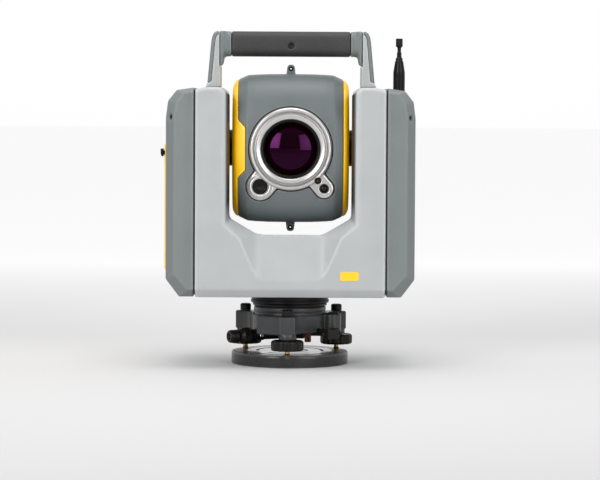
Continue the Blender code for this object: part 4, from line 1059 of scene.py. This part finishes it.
def build_bezel():
    outer = [(38.5, 77.6), (38.9, 76.2), (39.1, 72.4), (40.6, 71.8), (41.3, 73.0), (42.2, 75.2), (43.4, 76.1),
             (44.7, 75.9), (45.9, 74.8), (46.6, 73.0), (BEZEL_R, 71.0), (BEZEL_R, 58)]
    profile = [(LENS_R, 58), (LENS_R, 75.2), (34.2, 76.2), (37.8, 77.9), *outer]
    item = turned_on_telescope("bezel_ring", profile, "satin", "satin_silver", segments=256, ease=0.35)
    lower_front = 76.0 * MM                     # the upper part of the inner rim stands lower
    for vertex in item.data.vertices:
        x, z = vertex.co.x, vertex.co.z - TRUNNION_Z * MM
        above = abs(math.degrees(math.atan2(x, z))) < 52
        if above and math.hypot(x, z) < 37.3 * MM and -vertex.co.y > lower_front:
            vertex.co.y = -lower_front
    window_cut = lathe("cutter", [(0, 60), (3.9, 60), (3.9, 90), (0, 90)], "satin",
                       (GUIDE_POINT[0], 0, TRUNNION_Z + GUIDE_POINT[1]), (0, -1, 0), segments=48, ease=0.01)
    cut = item.modifiers.new("window", "BOOLEAN")
    cut.object = window_cut
    cut.operation = "DIFFERENCE"
    cut.solver = "EXACT"
    shaped = bpy.data.meshes.new_from_object(item.evaluated_get(bpy.context.evaluated_depsgraph_get()))
    item.modifiers.clear()
    item.data = shaped
    bpy.data.objects.remove(window_cut)

    grid = Grid((-50, -78, -59), (49, -58, 47), 0.55)
    depth = -grid.y
    plan = bezel_plan(grid)
    base = both(plan, slab(depth, 58, LOBE_FRONT), (plan + depth - LOBE_FRONT + 1.4) / DIAGONAL)
    camera_off = off_line(*grid.xz, CAMERA_POINT)
    camera_rim = both(slab(camera_off, 8.4, 13.2), slab(depth, 60, LOBE_FRONT + 2.4),
                      (camera_off - 13.2 + depth - LOBE_FRONT - 2.4 + 2.0) / DIAGONAL)
    lobes = without(
        merged(base, camera_rim, 1.5),
        off_line(*grid.xz) - (BEZEL_R - 0.5),
        camera_off - 8.4,
        (camera_off - 8.4 - (depth - LOBE_FRONT - 0.4)) / DIAGONAL,
        rod(grid, 5.4, 50, 90, (POINTER_POINT[0], 0, POINTER_POINT[1]), (0, -1, 0)),
        rod(grid, 3.9, 50, 90, (GUIDE_POINT[0], 0, GUIDE_POINT[1]), (0, -1, 0)),
    )
    item = solid("bezel_lobes", grid, lobes, "satin", offset=(0, 0, TRUNNION_Z), merge=0.01)
    settle(item, "telescope", "satin_silver", "lens_bezel")


def build_optics():
    barrel = [(29.8, 0), (32.9, 0), (32.9, 75), (32.3, 75.6), (31.2, 75.2), (30.6, 73.4), (29.8, 72.6)]
    turned_on_telescope("barrel", barrel, "black", "black_plastic", "lens_barrel", segments=128, ease=0.3)
    edge_radius, curvature, crown = 29.2, 62.0, 71.4
    radii = [edge_radius * (1 - i / 24) for i in range(24)]
    bulge = [(r, crown - curvature + math.sqrt(curvature**2 - r**2)) for r in radii]
    lens = [(0, 58), (edge_radius, 58), *bulge, (0, crown)]
    turned_on_telescope("front_lens", lens, "coated", "coated_glass", "objective_lens",
                        segments=128, ease=0.05)
    camera = [(0, 58), (8.0, 58), (8.0, 70.4), (7.3, 71.2), (5.6, 71.0), (4.8, 69.4), (0, 69.2)]
    turned_on_telescope("camera_port", camera, "black", "coated_glass", "camera_window",
                        point=CAMERA_POINT, segments=64, ease=0.3)
    glass = [(0, 68.9), (4.6, 68.9), (4.6, 69.2), (2.4, 69.5), (0, 69.6)]
    turned_on_telescope("camera_lens", glass, "gloss", "coated_glass",
                        point=CAMERA_POINT, segments=48, ease=0.1)
    windows = (("pointer", POINTER_POINT, 5.1, "gloss"), ("guide", GUIDE_POINT, 3.6, "amber"))
    for name, point, radius, finish in windows:
        cup = [(0, 58), (radius, 58), (radius, 71.9), (radius - 0.9, 71.9), (radius - 1.1, 68.6), (0, 68.6)]
        turned_on_telescope(name + "_cup", cup, "recess", "black_plastic", point=point, segments=48, ease=0.1)
        glass = [(0, 68.7), (radius - 1.3, 68.7), (radius - 1.3, 69.3), (radius * 0.4, 70.0), (0, 70.1)]
        turned_on_telescope(name + "_window", glass, finish, "coated_glass",
                            point=point, segments=32, ease=0.1)


def build_journals():
    step = BAND_END_X + 0.3
    profile = [(10, 44), (28, 44), (28, 50), (JOURNAL_R, 50), (JOURNAL_R, step), (JOURNAL_R + 0.7, step),
               (JOURNAL_R + 0.7, 71), (JOURNAL_R, 71), (JOURNAL_R, 98), (10, 98)]
    for name, side in SIDES.items():
        turned("journal_" + name, profile, "black", "telescope", "tribrach_paint", "trunnion_journal_" + name,
               at=(0, 0, TRUNNION_Z), along=(side, 0, 0), ease=0.3)


# ---- Studio ----------------------------------------------------------------------------------
CAMERA_PLACE = (0.0, -2.9, 0.2975)
CAMERA_AIM = (0.0113, 0.0, 0.1416)
CAMERA_ROLL = 0.3                      # degrees
CAMERA_LENS = 151.3
ROOM_FRONT = 0.17                      # brightness of the room in front of the lens
ROOM_SIDES = 0.45
ROOM_BACK = 1.0                        # and behind the object and overhead
LIGHT_SPREAD = 80.0                    # degrees; keeps the softboxes off the floor in front
OVERHEAD = 0.42                        # how strongly height counts towards the bright end
GLOW_Y = (0.35, 1.8)                   # the floor behind the object brightens into a white background
FLOOR_GLOW = 0.42
FLOOR_GREY = 0.66


def build_camera():
    data = bpy.data.cameras.new("camera")
    data.lens = CAMERA_LENS
    data.sensor_width = 36.0
    data.clip_start = 0.05
    item = bpy.data.objects.new("camera", data)
    bpy.context.scene.collection.objects.link(item)
    towards = Vector(CAMERA_AIM) - Vector(CAMERA_PLACE)
    aimed = towards.to_track_quat("-Z", "Y").to_matrix().to_4x4()
    roll = Matrix.Rotation(math.radians(CAMERA_ROLL), 4, "Z")
    item.matrix_world = Matrix.Translation(CAMERA_PLACE) @ aimed @ roll
    bpy.context.scene.camera = item


def add_softbox(name, place, aim, width, height, power):
    data = bpy.data.lights.new(name, "AREA")
    data.shape = "RECTANGLE"
    data.size = width
    data.size_y = height
    data.energy = power
    data.spread = math.radians(LIGHT_SPREAD)
    item = bpy.data.objects.new(name, data)
    bpy.context.scene.collection.objects.link(item)
    item.location = place
    item.rotation_euler = (Vector(aim) - Vector(place)).to_track_quat("-Z", "Y").to_euler()


def build_world():
    """A pale room that is dimmer in front of the lens, so that bright metal keeps its contrast."""
    world = bpy.data.worlds.new("studio")
    bpy.context.scene.world = world
    world.use_nodes = True
    tree = world.node_tree
    place = add_node(tree, "TexCoord").outputs["Generated"]
    parts = add_node(tree, "SeparateXYZ", Vector=place).outputs
    lifted = add_node(tree, "Math", {"operation": "MULTIPLY_ADD"},
                      operands=(parts["Z"], 2 * OVERHEAD, parts["Y"]))
    position = add_node(tree, "MapRange", From_Min=-1.0, Value=lifted.outputs["Value"])
    room = add_node(tree, "ValToRGB", Fac=position.outputs["Result"])
    ramp = room.color_ramp.elements
    ramp[0].color = (*[ROOM_FRONT] * 3, 1)
    ramp[1].color = (*[ROOM_BACK] * 3, 1)
    ramp.new(0.5).color = (*[ROOM_SIDES] * 3, 1)
    feed(tree, tree.nodes["Background"], "Color", room.outputs["Color"])


def build_studio():
    material = bpy.data.materials.new("floor")
    material.use_nodes = True
    tree = material.node_tree
    shader = tree.nodes["Principled BSDF"]
    place = add_node(tree, "NewGeometry").outputs["Position"]
    behind = add_node(tree, "SeparateXYZ", Vector=place).outputs["Y"]
    glow = add_node(tree, "MapRange", From_Min=GLOW_Y[0], From_Max=GLOW_Y[1], To_Max=FLOOR_GLOW, Value=behind)
    feed(tree, shader, "Base Color", (*[FLOOR_GREY] * 3, 1))
    feed(tree, shader, "Roughness", 0.9)
    feed(tree, shader, "Emission Color", (1, 1, 1, 1))
    feed(tree, shader, "Emission Strength", glow.outputs["Result"])
    mesh = bpy.data.meshes.new("floor")
    reach = 30.0
    corners = [(-reach, -reach, 0), (reach, -reach, 0), (reach, reach, 0), (-reach, reach, 0)]
    mesh.from_pydata(corners, [], [(0, 1, 2, 3)])
    mesh.materials.append(material)
    floor = bpy.data.objects.new("floor", mesh)
    bpy.context.scene.collection.objects.link(floor)

    build_world()
    add_softbox("key_left", (-1.35, -2.05, 0.95), (0, 0, 0.25), 0.9, 1.4, 6.6)
    add_softbox("key_right", (1.4, -1.95, 0.8), (0, 0, 0.25), 1.4, 1.4, 5.0)
    add_softbox("top", (0, -0.3, 1.8), (0, 0, 0.3), 1.2, 1.2, 3)
    bpy.context.scene.view_settings.view_transform = "Standard"


build_camera()
build_studio()
paint_carried_nodes()
build_yoke()
for cover_name in SIDES:
    build_cover(cover_name)
build_gaskets()
build_door()
build_rear_controls()
build_handle()
build_antenna()
build_skirt_and_foot()
build_tribrach_body()
build_base_plate()
build_foot_screws()
build_plummet()
build_level()
build_lock()
build_telescope_shells()
build_side_bands()
build_bezel()
build_optics()
build_journals()
